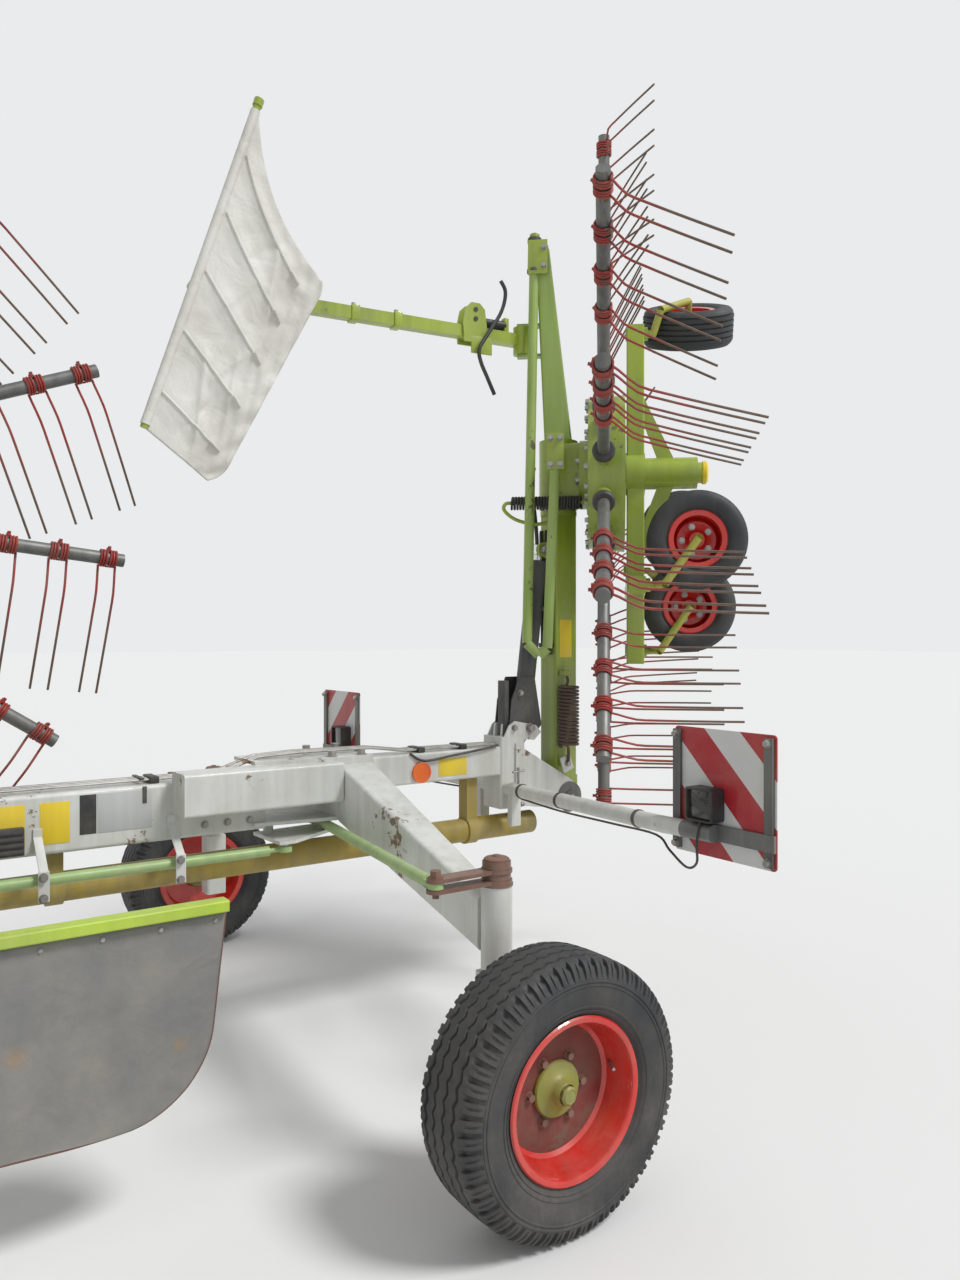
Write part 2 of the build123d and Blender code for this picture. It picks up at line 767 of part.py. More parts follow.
# Lift cylinder: the barrel hangs on the frame, the rod's eye on the arm
def lift_cylinder(base, foot_place, eye):
    run = hypot(eye[0] - foot_place[0], eye[1] - foot_place[1])
    lean = ((eye[0] - foot_place[0]) / run, 0, (eye[1] - foot_place[1]) / run)
    foot = on(base, foot_place[0], 0, foot_place[1], lean, (0, 1, 0))
    barrel_end = run - 50
    with BuildPart() as barrel:
        with BuildSketch(on(foot, -eye_width / 2, 0, 0, (1, 0, 0), (0, 1, 0))):
            Circle(eye_radius)
            Circle(cylinder_pin_radius + seat_gap, mode=Mode.SUBTRACT)
        extrude(amount=eye_width)
        with BuildSketch(on(foot, 0, 0, eye_radius - 4)):
            Circle(17)
        extrude(amount=24)
        with BuildSketch(on(foot, 0, 0, 44)):
            Circle(barrel_radius)
        extrude(amount=barrel_end - 44)
        with BuildSketch(on(foot, 0, 0, 52)):
            Circle(rod_radius + seat_gap)
        extrude(amount=barrel_end, mode=Mode.SUBTRACT)
    with BuildPart() as rod:
        with BuildSketch(on(foot, 0, 0, 54)):
            Circle(rod_radius)
        extrude(amount=run - 54 - eye_radius + 6)
        with BuildSketch(on(foot, -eye_width / 2, 0, run, (1, 0, 0), (0, 1, 0))):
            Circle(eye_radius)
        extrude(amount=eye_width)
    return barrel.part, rod.part


# Head: swivel housing round the arm's end, gearbox and the spindle through the drum
def head(base):
    with BuildPart() as part:
        with BuildSketch(on(base, head_root - 8, 0, rotor_offset, (-1, 0, 0), (0, 1, 0))):
            Circle(85)
        extrude(amount=300)
        with BuildSketch(on(base, 0, 0, drum_top + 30)):
            RectangleRounded(260, 200, 30)
        extrude(amount=rotor_offset - drum_top - 30)
        with BuildSketch(on(base, 0, 0, drum_top + 1)):
            Circle(150)
        extrude(amount=40)
        with BuildSketch(on(base, 0, 0, spindle_bottom)):
            Circle(spindle_radius)
        extrude(amount=drum_top + 20 - spindle_bottom)
        with BuildSketch(on(base, head_root, 0, rotor_offset, (-1, 0, 0), (0, 1, 0))):
            Circle(40 + seat_gap)
        extrude(amount=head_root + 94, mode=Mode.SUBTRACT)
    return part.part


# Mast above the head with the long guard hoop
def mast(base, hinged):
    bar_y = 235.0
    ear_height = curtain_hinge_z + 18 - curtain_ear_root
    ear_middle = curtain_ear_root + ear_height / 2
    with BuildPart() as part:
        with BuildSketch(on(base, -148 - seat_gap, 0, rotor_offset, (-1, 0, 0), (0, 1, 0))):
            RectangleRounded(90, 120, 8)
        with BuildSketch(on(base, -1000, 0, 270, (-1, 0, 0), (0, 1, 0))):
            RectangleRounded(50, 60, 8)
        loft()
        points = [
            (base.location * Location(p)).position
            for p in ((-1000, 0, 270), (-1040, 10, 305), (740, bar_y, 320), (790, bar_y, 270), (760, bar_y, 235), (-60, bar_y, 200))
        ]
        with BuildLine() as route:
            Polyline(*points)
        with BuildSketch(Plane(origin=route.line @ 0, z_dir=route.line % 0)):
            Circle(21)
        sweep(transition=Transition.ROUND)
        with BuildSketch(on(base, -60, 101, 200, (0, 1, 0))):
            Circle(26)
        extrude(amount=150)
        if hinged:
            for side in (-1, 1):
                with BuildSketch(
                    on(base, curtain_hinge_x + side * 61, 0, ear_middle, (side, 0, 0), (0, 1, 0))
                ):
                    Rectangle(44, ear_height)
                extrude(amount=12)
            with BuildSketch(on(base, curtain_hinge_x - 73, 0, curtain_hinge_z, (1, 0, 0), (0, 1, 0))):
                Circle(12)
            extrude(amount=146)
    return part.part


# Undercarriage: wheel places, the outward side of each wheel and its castor post
wheel_table = (
    # x, y, angle of the outward side, castor x, castor y
    (320.0, 265.0, 90.0, 500.0, 265.0),
    (580.0, -105.0, 90.0, 775.0, -105.0),
    (210.0, -500.0, 65.0, 390.0, -500.0),
    (-683.0, -145.0, 155.0, -607.0, 18.0),
)


def castor(base, x, y, angle, post_x, post_y):
    """Route of a castor's tube from its post round the wheel to the hub."""
    side = radians(angle)
    away = (cos(side), sin(side))
    outer = small_tyre_width / 2 + 26
    hub = (x - away[0] * 26, y - away[1] * 26, small_wheel_z)
    elbow = (x + away[0] * outer, y + away[1] * outer, small_wheel_z)
    knee_z = chassis_top - chassis_size - 40
    return [
        (base.location * Location(p)).position
        for p in (
            (post_x, post_y, chassis_top - chassis_size - 16 - seat_gap),
            (post_x, post_y, knee_z),
            (post_x + away[0] * outer * 0.9, post_y + away[1] * outer * 0.9, knee_z - 30),
            elbow,
            hub,
        )
    ]


def undercarriage(base):
    mid = chassis_top - chassis_size / 2
    with BuildPart() as part:
        with BuildSketch(on(base, -640, 20, mid, (1, 0, 0), (0, 1, 0))):
            RectangleRounded(chassis_size, chassis_size, 6)
        extrude(amount=1470)
        with BuildSketch(on(base, 500, -540, mid, (0, 1, 0))):
            RectangleRounded(chassis_size - 5, chassis_size - 5, 6)
        extrude(amount=840)
        with BuildSketch(on(base, 775, -140, mid, (0, 1, 0))):
            RectangleRounded(chassis_size - 5, chassis_size - 5, 6)
        extrude(amount=180)
        with BuildSketch(on(base, 390, -502, mid, (1, 0, 0), (0, 1, 0))):
            RectangleRounded(chassis_size - 12, chassis_size - 12, 6)
        extrude(amount=130)
        for x, y, angle, castor_x, castor_y in wheel_table:
            with BuildSketch(on(base, castor_x, castor_y, chassis_top + 4)):
                Circle(castor_radius)
            extrude(amount=-chassis_size - 20)
        # Plate bracket and ring that carry the chassis on the spindle's lower end
        with BuildSketch(on(base, 0, 20 - 6, 0, (0, 1, 0))):
            with BuildLine():
                Polyline(
                    (-400, -chassis_top + 40),
                    (-60, 300),
                    (-60, 400),
                    (60, 400),
                    (60, 300),
                    (430, -chassis_top + 40),
                    (300, -chassis_top + 40),
                    (60, 230),
                    (-60, 230),
                    (-300, -chassis_top + 40),
                    close=True,
                )
            make_face()
        extrude(amount=12)
        with BuildSketch(on(base, 0, 0, chassis_top + 3)):
            Circle(92)
        extrude(amount=-chassis_size - 6)
        with BuildSketch(on(base, 0, 0, chassis_top - chassis_size)):
            Circle(68)
        extrude(amount=-(400 + chassis_top - chassis_size))
        with BuildSketch(on(base, 0, 0, drum_bottom)):
            Circle(spindle_radius + seat_gap)
        extrude(amount=spindle_bottom - 20, mode=Mode.SUBTRACT)
    return part.part


def castor_forks(base):
    with BuildPart() as part:
        for x, y, angle, castor_x, castor_y in wheel_table:
            with BuildLine() as route:
                Polyline(*castor(base, x, y, angle, castor_x, castor_y))
            with BuildSketch(Plane(origin=route.line @ 0, z_dir=route.line % 0)):
                Circle(fork_radius)
            sweep(transition=Transition.ROUND)
    return part.part


# Drum with the bearing bosses of the tine arms
def rotor_drum(base, start):
    with BuildPart() as drum:
        with BuildSketch(on(base, 0, 0, drum_bottom)):
            Circle(drum_radius)
        extrude(amount=drum_top - drum_bottom, taper=6)
        for index in range(arm_count):
            angle = radians(start + index * 360 / arm_count)
            out = (cos(angle), sin(angle), 0)
            with BuildSketch(on(base, out[0] * 200, out[1] * 200, 0, out, (0, 0, 1))):
                Circle(boss_radius)
            extrude(amount=boss_end - 200)
        with BuildSketch(on(base, 0, 0, drum_bottom - 10)):
            Circle(spindle_radius + seat_gap)
        extrude(amount=drum_top - drum_bottom + 20, mode=Mode.SUBTRACT)
    return drum.part


def twist_at(angle, folded):
    """How far the cam has turned an arm at this place round the rotor."""
    turn = (angle + 180) % 360 - 180
    if -40 <= turn <= 55:
        return 0.0
    if 55 < turn < 150:
        return folded * ((turn - 55) / 95) ** 1.6
    if -110 < turn < -40:
        return folded * (-40 - turn) / 70
    return folded


def rotor_places(base, name):
    """Where each tine arm stands, turned by its place round the rotor and by the cam."""
    places = []
    for index in range(arm_count):
        if index == missing_arm[name]:
            continue
        angle = first_arm[name] + index * 360 / arm_count
        twist = twist_at(angle, folded_twist[name])
        places.append(base.location * Location((0, 0, 0), (0, 0, angle)) * Location((0, 0, 0), (-twist, 0, 0)))
    return places


def tine_arm():
    """One arm along x: the carrier and its tube."""
    with BuildPart() as arm:
        with BuildSketch(Plane.YZ.offset(boss_end + seat_gap)):
            Circle(carrier_radius)
        extrude(amount=carrier_end - boss_end)
        with BuildSketch(Plane.YZ.offset(carrier_end - 20)):
            Circle(tine_arm_radius)
        extrude(amount=tine_arm_end - carrier_end + 20)
    return arm.part


def tine_set():
    """The sprung tines of one arm: a coil round the tube and two legs for each pair."""
    half = coil_length / 2
    with BuildPart() as tines:
        for index in range(tine_pairs):
            x = tine_first + index * tine_pitch
            with BuildSketch(Plane.YZ.offset(x - half)):
                RegularPolygon(coil_radius, 8)
                Circle(tine_arm_radius + seat_gap, mode=Mode.SUBTRACT)
            extrude(amount=coil_length)
            for leg in (x - tine_spread / 2 + 6, x + tine_spread / 2 - 6):
                with BuildLine() as route:
                    Polyline(
                        (leg, 0, -coil_radius + 2),
                        (leg, -tine_kink_side, -tine_kink),
                        (leg, -tine_tip_side, -tine_length),
                    )
                with BuildSketch(Plane(origin=route.line @ 0, z_dir=route.line % 0)):
                    Rectangle(tine_wire, tine_wire)
                sweep(transition=Transition.RIGHT)
    return tines.part


one_arm = tine_arm()
one_tine_set = tine_set()
with BuildPart() as small_wheel:
    add(
        tyre_ring(
            Plane.XY,
            small_tyre_diameter,
            small_tyre_width,
            small_bead_diameter,
            small_flange_diameter,
            6,
        )
    )
    add(
        dished_rim(
            Plane.XY,
            small_bead_diameter,
            small_flange_diameter,
            small_tyre_width,
            small_rim_wall,
            0,
            32,
            30,
            30,
            fork_radius + seat_gap,
        )
    )

for name in ("rear", "front"):
    arm_base = arm_frames[name]
    rotor_base = rotor_frames[name]
    head_base = head_frames[name]
    keep(lift_arm(arm_base, reach[name], cylinder_eye[name]), f"{name}_lift_arm")
    barrel_part, rod_part = lift_cylinder(arm_base, cylinder_base[name], cylinder_eye[name])
    keep(barrel_part, f"{name}_lift_barrel")
    keep(rod_part, f"{name}_lift_rod")
    keep(head(head_base), f"{name}_head")
    keep(mast(head_base, name == "rear"), f"{name}_mast")
    keep(undercarriage(rotor_base), f"{name}_undercarriage")
    keep(castor_forks(rotor_base), f"{name}_castors")
    keep(rotor_drum(rotor_base, first_arm[name]), f"{name}_drum")
    places = rotor_places(rotor_base, name)
    with BuildPart() as arms:
        with Locations(*places):
            add(one_arm)
    keep(arms.part, f"{name}_tine_arms")
    with BuildPart() as tines:
        with Locations(*places):
            add(one_tine_set)
    keep(tines.part, f"{name}_tines")
    for number, (x, y, angle, castor_x, castor_y) in enumerate(wheel_table, start=1):
        side = radians(angle)
        wheel_base = on(rotor_base, x, y, small_wheel_z, (cos(side), sin(side), 0), (0, 0, 1))
        keep(wheel_base.location * small_wheel.part, f"{name}_wheel_{number}")


# Rear curtain: an arm from the mast to the bar that the canvas hangs from
curtain_pivot = (
    rear_centre[0] + curtain_hinge_z * turn_cos,
    rear_centre[1] - curtain_hinge_z * turn_sin,
    rear_centre[2] - curtain_hinge_x,
)
curtain_arm_end = (axle_x + 386, -290.0, 2880.0)
canvas_thickness = 6.0
bar_bottom = (axle_x + 572, -243.0, 2321.0)
bar_top = (axle_x + 176, -163.0, 3568.0)
free_top = (axle_x - 78, -111.0, 2919.0)
free_bottom = (axle_x + 322, -192.0, 2118.0)
with BuildPart() as rear_curtain_arm:
    with Locations(toward(curtain_pivot, curtain_arm_end).offset(25)):
        Box(50, 50, length_of(curtain_pivot, curtain_arm_end) - 25, align=low)
    with Locations((curtain_pivot[0], curtain_pivot[1], curtain_pivot[2] - 60)):
        Cylinder(36, 120, align=low)
        Cylinder(12 + seat_gap, 120, align=low, mode=Mode.SUBTRACT)
    bar_mid = (axle_x + 395, -207.0, 2880.0)
    with Locations(toward(curtain_arm_end, bar_mid)):
        Cylinder(16, length_of(curtain_arm_end, bar_mid), align=low)
    with Locations(toward(bar_bottom, bar_top)):
        Cylinder(15, length_of(bar_bottom, bar_top) + 30, align=low)
keep(rear_curtain_arm.part, "rear_curtain_arm")

with BuildPart() as rear_curtain:
    canvas_along = (Vector(*bar_top) - Vector(*bar_bottom)).normalized()
    canvas_across = Vector(0.98, -0.2, 0).normalized()
    canvas_plane = Plane(
        origin=Vector(*bar_bottom), x_dir=-canvas_across, z_dir=canvas_across.cross(Vector(0, 0, 1))
    )
    outline = []
    for corner in (bar_bottom, bar_top, free_top, free_bottom):
        local = canvas_plane.to_local_coords(Vector(*corner))
        outline.append((local.X, local.Y))
    with BuildSketch(canvas_plane):
        with BuildLine():
            Polyline(
                (outline[0][0] + 16.6, outline[0][1]),
                (outline[1][0] + 16.6, outline[1][1]),
                outline[2],
                outline[3],
                close=True,
            )
        make_face()
    extrude(amount=canvas_thickness / 2, both=True)
keep(rear_curtain.part, "rear_curtain")


# Front curtain on the left of the beam
front_bar_y = 850.0
front_bar_z = 870.0
front_bar_rear = 670.0
front_bar_length = 2100.0
front_arm_x = 1650.0
with BuildPart() as front_curtain_arm:
    hinge_centre = (axle_x + front_arm_x, beam_width / 2 + 60, beam_bottom + beam_height / 2)
    with BuildSketch(Plane.YZ.offset(hinge_centre[0] - 50)):
        with Locations((hinge_centre[1], hinge_centre[2])):
            Circle(30)
            Circle(14 + seat_gap, mode=Mode.SUBTRACT)
    extrude(amount=100)
    arm_start = (hinge_centre[0], hinge_centre[1] + 22, hinge_centre[2])
    arm_end = (hinge_centre[0], front_bar_y, front_bar_z + 8)
    with Locations(toward(arm_start, arm_end)):
        Box(50, 50, length_of(arm_start, arm_end), align=low)
    with BuildSketch(Plane.YZ.offset(axle_x + front_bar_rear)):
        with Locations((front_bar_y, front_bar_z)):
            RectangleRounded(50, 30, 5)
    extrude(amount=front_bar_length)
keep(front_curtain_arm.part, "front_curtain_arm")

with BuildPart() as front_curtain_bracket:
    for side in (-1, 1):
        with BuildSketch(Plane.YZ.offset(hinge_centre[0] + side * 55)):
            with BuildLine():
                Polyline(
                    (beam_width / 2 + seat_gap, hinge_centre[2] - 60),
                    (hinge_centre[1], hinge_centre[2] - 30),
                    (hinge_centre[1] + 30, hinge_centre[2]),
                    (hinge_centre[1], hinge_centre[2] + 30),
                    (beam_width / 2 + seat_gap, hinge_centre[2] + 60),
                    close=True,
                )
            make_face()
        extrude(amount=side * 10)
    with BuildSketch(Plane.YZ.offset(hinge_centre[0] - 65)):
        with Locations((hinge_centre[1], hinge_centre[2])):
            Circle(14)
    extrude(amount=130)
keep(front_curtain_bracket.part, "front_curtain_bracket")

with BuildPart() as front_curtain:
    with BuildSketch(Plane.XZ.offset(-front_bar_y)):
        with BuildLine():
            Polyline(
                (axle_x + front_bar_rear, front_bar_z - 15 - seat_gap),
                (axle_x + front_bar_rear + front_bar_length, front_bar_z - 15 - seat_gap),
                (axle_x + front_bar_rear + front_bar_length, 350),
                (axle_x + front_bar_rear + 230, 350),
                (axle_x + front_bar_rear + 120, 400),
                (axle_x + front_bar_rear + 60, 520),
                close=True,
            )
        make_face()
    extrude(amount=canvas_thickness / 2, both=True)
keep(front_curtain.part, "front_curtain")
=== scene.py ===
# Folded twin rotor rake: finishes, wheels, tines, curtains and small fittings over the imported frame.
import bpy
import bmesh
import math
from mathutils import Matrix, Vector


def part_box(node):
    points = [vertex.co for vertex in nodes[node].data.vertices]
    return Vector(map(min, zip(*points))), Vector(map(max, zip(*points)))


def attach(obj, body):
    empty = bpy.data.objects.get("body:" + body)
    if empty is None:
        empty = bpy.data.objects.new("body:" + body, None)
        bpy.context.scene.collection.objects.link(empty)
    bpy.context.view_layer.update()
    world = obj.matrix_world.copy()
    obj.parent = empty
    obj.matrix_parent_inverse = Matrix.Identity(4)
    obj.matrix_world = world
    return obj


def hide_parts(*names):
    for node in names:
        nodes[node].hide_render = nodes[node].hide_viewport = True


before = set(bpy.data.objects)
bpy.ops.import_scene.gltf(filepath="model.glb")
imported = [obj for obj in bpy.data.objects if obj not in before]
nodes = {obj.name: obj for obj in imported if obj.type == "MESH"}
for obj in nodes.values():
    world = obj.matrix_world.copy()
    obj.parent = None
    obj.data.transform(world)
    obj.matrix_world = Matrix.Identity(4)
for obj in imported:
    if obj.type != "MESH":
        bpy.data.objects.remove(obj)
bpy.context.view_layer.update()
low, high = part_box("tyre_left")
axleX = (low[0] + high[0]) / 2
# the fittings are written for tyres that stood this much higher
groundDrop = 0.065
print("frame loaded, axle at", round(axleX, 3))

# helpers


def mat4(origin, xDir, zDir):
    # matrix of a frame from its origin, x and z
    x = Vector(xDir).normalized()
    z = Vector(zDir).normalized()
    y = z.cross(x)
    m = Matrix((x, y, z)).transposed().to_4x4()
    m.translation = Vector(origin)
    return m


def lookAlong(start, end):
    # a frame at start whose z runs to end
    z = (Vector(end) - Vector(start)).normalized()
    side = Vector((0, 0, 1)) if abs(z.z) < 0.9 else Vector((1, 0, 0))
    return mat4(start, side.cross(z), z)


def shift(x, y, z):
    return Matrix.Translation((x, y, z))


def at(x, y, z):
    # a place counted from the axle
    return shift(axleX + x, y, z)


def placed(points, side=1):
    # points counted from the axle, on the left or the right side
    return [(axleX + x, side * y, z) for x, y, z in points]


def moved(matrix, points):
    return [matrix @ Vector(p) for p in points]


def placeMesh(name, mesh, material=None):
    piece = bpy.data.objects.new(name, mesh)
    bpy.context.scene.collection.objects.link(piece)
    if material is not None:
        mesh.materials.clear()
        mesh.materials.append(material)
    return piece


def fromBmesh(name, bm, materials, smooth=True, merge=1e-6):
    mesh = bpy.data.meshes.new(name)
    bmesh.ops.remove_doubles(bm, verts=bm.verts, dist=merge)
    bmesh.ops.recalc_face_normals(bm, faces=bm.faces)
    bm.to_mesh(mesh)
    bm.free()
    for material in materials:
        mesh.materials.append(material)
    if smooth:
        for face in mesh.polygons:
            face.use_smooth = True
        mesh.set_sharp_from_angle(angle=math.radians(38))
    return placeMesh(name, mesh)


def gridFaces(bm, rows, closed=False, index=0):
    # skins rows of points, each row open or closed on itself
    for one, two in zip(rows, rows[1:]):
        count = len(one)
        for i in range(count if closed else count - 1):
            j = (i + 1) % count
            bm.faces.new((one[i], one[j], two[j], two[i])).material_index = index


def lathe(bm, profile, steps, matrix, index=0):
    # closed profile of (radius, height) points turned about the frame's z
    profile = [(max(r, 1e-5), h) for r, h in profile]
    rings = []
    for k in range(steps):
        turn = 2 * math.pi * k / steps
        rings.append([bm.verts.new(matrix @ Vector((r * math.cos(turn), r * math.sin(turn), h))) for r, h in profile])
    gridFaces(bm, [*rings, rings[0]], True, index)


def block(bm, matrix, size, bevel=0.002, index=0):
    made = bmesh.ops.create_cube(bm, size=1.0, matrix=matrix @ Matrix.Diagonal((*size, 1)))
    edges = list({e for v in made["verts"] for e in v.link_edges})
    faces = list({f for v in made["verts"] for f in v.link_faces})
    for face in faces:
        face.material_index = index
    if bevel > 0:
        bmesh.ops.bevel(bm, geom=edges, offset=bevel, segments=2, affect="EDGES", profile=0.5, material=index)


def tubeAlong(bm, points, radius, sides=10, index=0, layer=None, values=None):
    # round tube that follows points, with frames carried along it
    points = [Vector(p) for p in points]
    count = len(points)
    tangents = [(points[min(i + 1, count - 1)] - points[max(i - 1, 0)]).normalized() for i in range(count)]
    normal = tangents[0].orthogonal().normalized()
    rings = []
    for i in range(count):
        normal = (normal - tangents[i] * normal.dot(tangents[i])).normalized()
        other = tangents[i].cross(normal)
        ring = []
        for s in range(sides):
            turn = 2 * math.pi * s / sides
            vert = bm.verts.new(points[i] + (normal * math.cos(turn) + other * math.sin(turn)) * radius)
            if layer is not None:
                vert[layer] = values[i]
            ring.append(vert)
        rings.append(ring)
    gridFaces(bm, rings, True, index)
    for ring in (rings[0][::-1], rings[-1]):
        bm.faces.new(ring).material_index = index


def prism(bm, outline, matrix, depth, index=0):
    # flat plate from an outline of (x, y) points, standing along the frame's z
    lower = [bm.verts.new(matrix @ Vector((x, y, 0))) for x, y in outline]
    upper = [bm.verts.new(matrix @ Vector((x, y, depth))) for x, y in outline]
    count = len(outline)
    walls = [(lower[i], lower[(i + 1) % count], upper[(i + 1) % count], upper[i]) for i in range(count)]
    for corners in (list(reversed(lower)), upper, *walls):
        bm.faces.new(corners).material_index = index


def smoothPath(points, step=6):
    # points of a curve drawn smoothly through a few of them
    points = [Vector(p) for p in points]
    out = []
    for i in range(len(points) - 1):
        a = points[max(i - 1, 0)]
        b = points[i]
        c = points[i + 1]
        d = points[min(i + 2, len(points) - 1)]
        for k in range(step):
            t = k / step
            out.append(
                0.5 * ((2 * b) + (c - a) * t + (2 * a - 5 * b + 4 * c - d) * t * t + (3 * b - a - 3 * c + d) * t ** 3))
    out.append(points[-1])
    return out


def settle(piece, body, replaced=None):
    # lets a piece down to the ground's level and fixes it to its body
    piece.data.transform(shift(0, 0, -groundDrop))
    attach(piece, body)
    if replaced:
        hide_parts(replaced)
    return piece


def finishPiece(name, bm, materials, body, replaced=None, smooth=True, merge=1e-6):
    piece = fromBmesh(name, bm, [finishes[m] for m in materials], smooth, merge)
    return settle(piece, body, replaced)


# node helpers


def feed(tree, node, inputs):
    # links an input where a socket is given and sets it where a value is
    for slot, value in inputs.items():
        if isinstance(value, bpy.types.NodeSocket):
            tree.links.new(value, node.inputs[slot])
        else:
            node.inputs[slot].default_value = value
    return node


def addNode(tree, kind, inputs=None, **settings):
    node = tree.nodes.new(kind)
    for key, value in settings.items():
        setattr(node, key, value)
    return feed(tree, node, inputs or {})


def newGroup(name, kind, inputs, outputs):
    # an empty group, the sockets it is given and the sockets of its result
    tree = bpy.data.node_groups.new(name, kind)
    for way, sockets in (("INPUT", inputs), ("OUTPUT", outputs)):
        for label, socketKind, *value in sockets:
            socket = tree.interface.new_socket(label, in_out=way, socket_type=f"NodeSocket{socketKind}")
            if value:
                socket.default_value = value[0]
    return tree, tree.nodes.new("NodeGroupInput").outputs, tree.nodes.new("NodeGroupOutput")


def objectPlace(tree):
    return addNode(tree, "ShaderNodeTexCoord").outputs["Object"]


def noise(tree, place, scale, detail, **more):
    return addNode(tree, "ShaderNodeTexNoise", {"Vector": place, "Scale": scale, "Detail": detail, **more}).outputs[0]


def spread(tree, value, start, end, low=0.0, high=1.0):
    ranges = {"From Min": start, "From Max": end, "To Min": low, "To Max": high}
    return addNode(tree, "ShaderNodeMapRange", {"Value": value, **ranges}).outputs[0]


def maths(tree, operation, *values, clamp=False):
    return addNode(tree, "ShaderNodeMath", dict(enumerate(values)), operation=operation, use_clamp=clamp).outputs[0]


def blend(tree, share, first, second):
    return addNode(tree, "ShaderNodeMix", {0: share, 6: first, 7: second}, data_type="RGBA").outputs[2]


# shader groups


def makeDustGroup():
    # dust in patches, thicker toward the ground
    tree, given, result = newGroup("dustFilm", "ShaderNodeTree", (
        ("Base", "Color", (1, 1, 1, 1)), ("Dust", "Color", (0.42, 0.36, 0.27, 1)), ("Amount", "Float", 0.3),
        ("Scale", "Float", 6.0), ("Low", "Float", 1.6)), (("Color", "Color"), ("Mask", "Float")))
    place = objectPlace(tree)
    patches = spread(tree, noise(tree, place, given["Scale"], 8.0, Roughness=0.62), 0.38, 0.72)
    grain = maths(tree, "MULTIPLY_ADD", noise(tree, place, 70.0, 4.0), 0.9, 0.25)
    height = addNode(tree, "ShaderNodeSeparateXYZ", {0: place}).outputs[2]
    near = maths(tree, "SUBTRACT", 1.25, maths(tree, "DIVIDE", height, given["Low"]), clamp=True)
    film = maths(tree, "MULTIPLY", maths(tree, "MULTIPLY", patches, grain), maths(tree, "MULTIPLY_ADD", near, 0.75, 0.4))
    mask = maths(tree, "MULTIPLY", film, given["Amount"], clamp=True)
    feed(tree, result, {"Color": blend(tree, mask, given["Base"], given["Dust"]), "Mask": mask})
    return tree


def makeWearGroup():
    # paint with a change of tone, run marks and chips down to the metal
    tree, given, result = newGroup("paintWear", "ShaderNodeTree", (
        ("Paint", "Color", (1, 1, 1, 1)), ("Shade", "Color", (1, 1, 1, 1)), ("Bare", "Color", (0.16, 0.09, 0.05, 1)),
        ("Amount", "Float", 0.3), ("Scale", "Float", 20.0)), (("Color", "Color"), ("Mask", "Float")))
    place = objectPlace(tree)
    stretched = addNode(tree, "ShaderNodeMapping", {"Vector": place, "Scale": (26.0, 26.0, 1.6)}).outputs[0]
    uneven = maths(tree, "MULTIPLY", noise(tree, place, 2.3, 5.0), noise(tree, stretched, 1.0, 4.0))
    tone = blend(tree, spread(tree, uneven, 0.16, 0.42), given["Paint"], given["Shade"])
    chips = maths(tree, "MULTIPLY", noise(tree, place, given["Scale"], 9.0, Roughness=0.7), noise(tree, place, 4.5, 2.0))
    over = maths(tree, "SUBTRACT", chips, maths(tree, "MULTIPLY_ADD", given["Amount"], -0.14, 0.44))
    mask = maths(tree, "MULTIPLY", over, 40.0, clamp=True)
    feed(tree, result, {"Color": blend(tree, mask, tone, given["Bare"]), "Mask": mask})
    return tree


def makeGrainGroup():
    # fine height and a roughness that varies over the surface
    tree, given, result = newGroup(
        "surfaceGrain", "ShaderNodeTree", (("Scale", "Float", 90.0), ("Low", "Float", 0.3), ("High", "Float", 0.6)),
        (("Roughness", "Float"), ("Height", "Float")))
    place = objectPlace(tree)
    rough = spread(tree, noise(tree, place, 7.0, 6.0), 0.3, 0.7, given["Low"], given["High"])
    feed(tree, result, {"Roughness": rough, "Height": noise(tree, place, given["Scale"], 6.0)})
    return tree


dustFilm = makeDustGroup()
paintWear = makeWearGroup()
surfaceGrain = makeGrainGroup()


def wearNode(tree, look, scale):
    colors = {label: (*look[key], 1) for label, key in (("Paint", "color"), ("Shade", "shade"), ("Bare", "bare"))}
    values = {**colors, "Amount": look["chips"], "Scale": scale}
    return addNode(tree, "ShaderNodeGroup", values, node_tree=paintWear, name="wear").outputs["Color"]


def newMaterial(name):
    material = bpy.data.materials.new(name)
    material.use_nodes = True
    return material, material.node_tree, material.node_tree.nodes["Principled BSDF"]


def finish(name, look):
    # paint, plastic, rubber or steel with tone, chips, dust and grain
    material, tree, shader = newMaterial(name)
    low, high = look["rough"]
    dust = addNode(tree, "ShaderNodeGroup", {
        "Base": wearNode(tree, look, 24.0), "Dust": (*look["dustColor"], 1), "Amount": look["dust"],
        "Scale": look["dustScale"], "Low": look["dustLow"]}, node_tree=dustFilm, name="dust")
    grain = addNode(tree, "ShaderNodeGroup", {"Scale": 120.0, "Low": low, "High": high}, node_tree=surfaceGrain)
    rough = maths(tree, "MULTIPLY_ADD", dust.outputs["Mask"], 0.45, grain.outputs["Roughness"], clamp=True)
    bump = addNode(tree, "ShaderNodeBump", {"Height": grain.outputs["Height"], "Strength": look["bump"], "Distance": 0.002})
    feed(tree, shader, {
        "Base Color": dust.outputs["Color"], "Roughness": rough, "Normal": bump.outputs[0],
        "Metallic": look["metal"], "Coat Weight": look["coat"]})
    return material


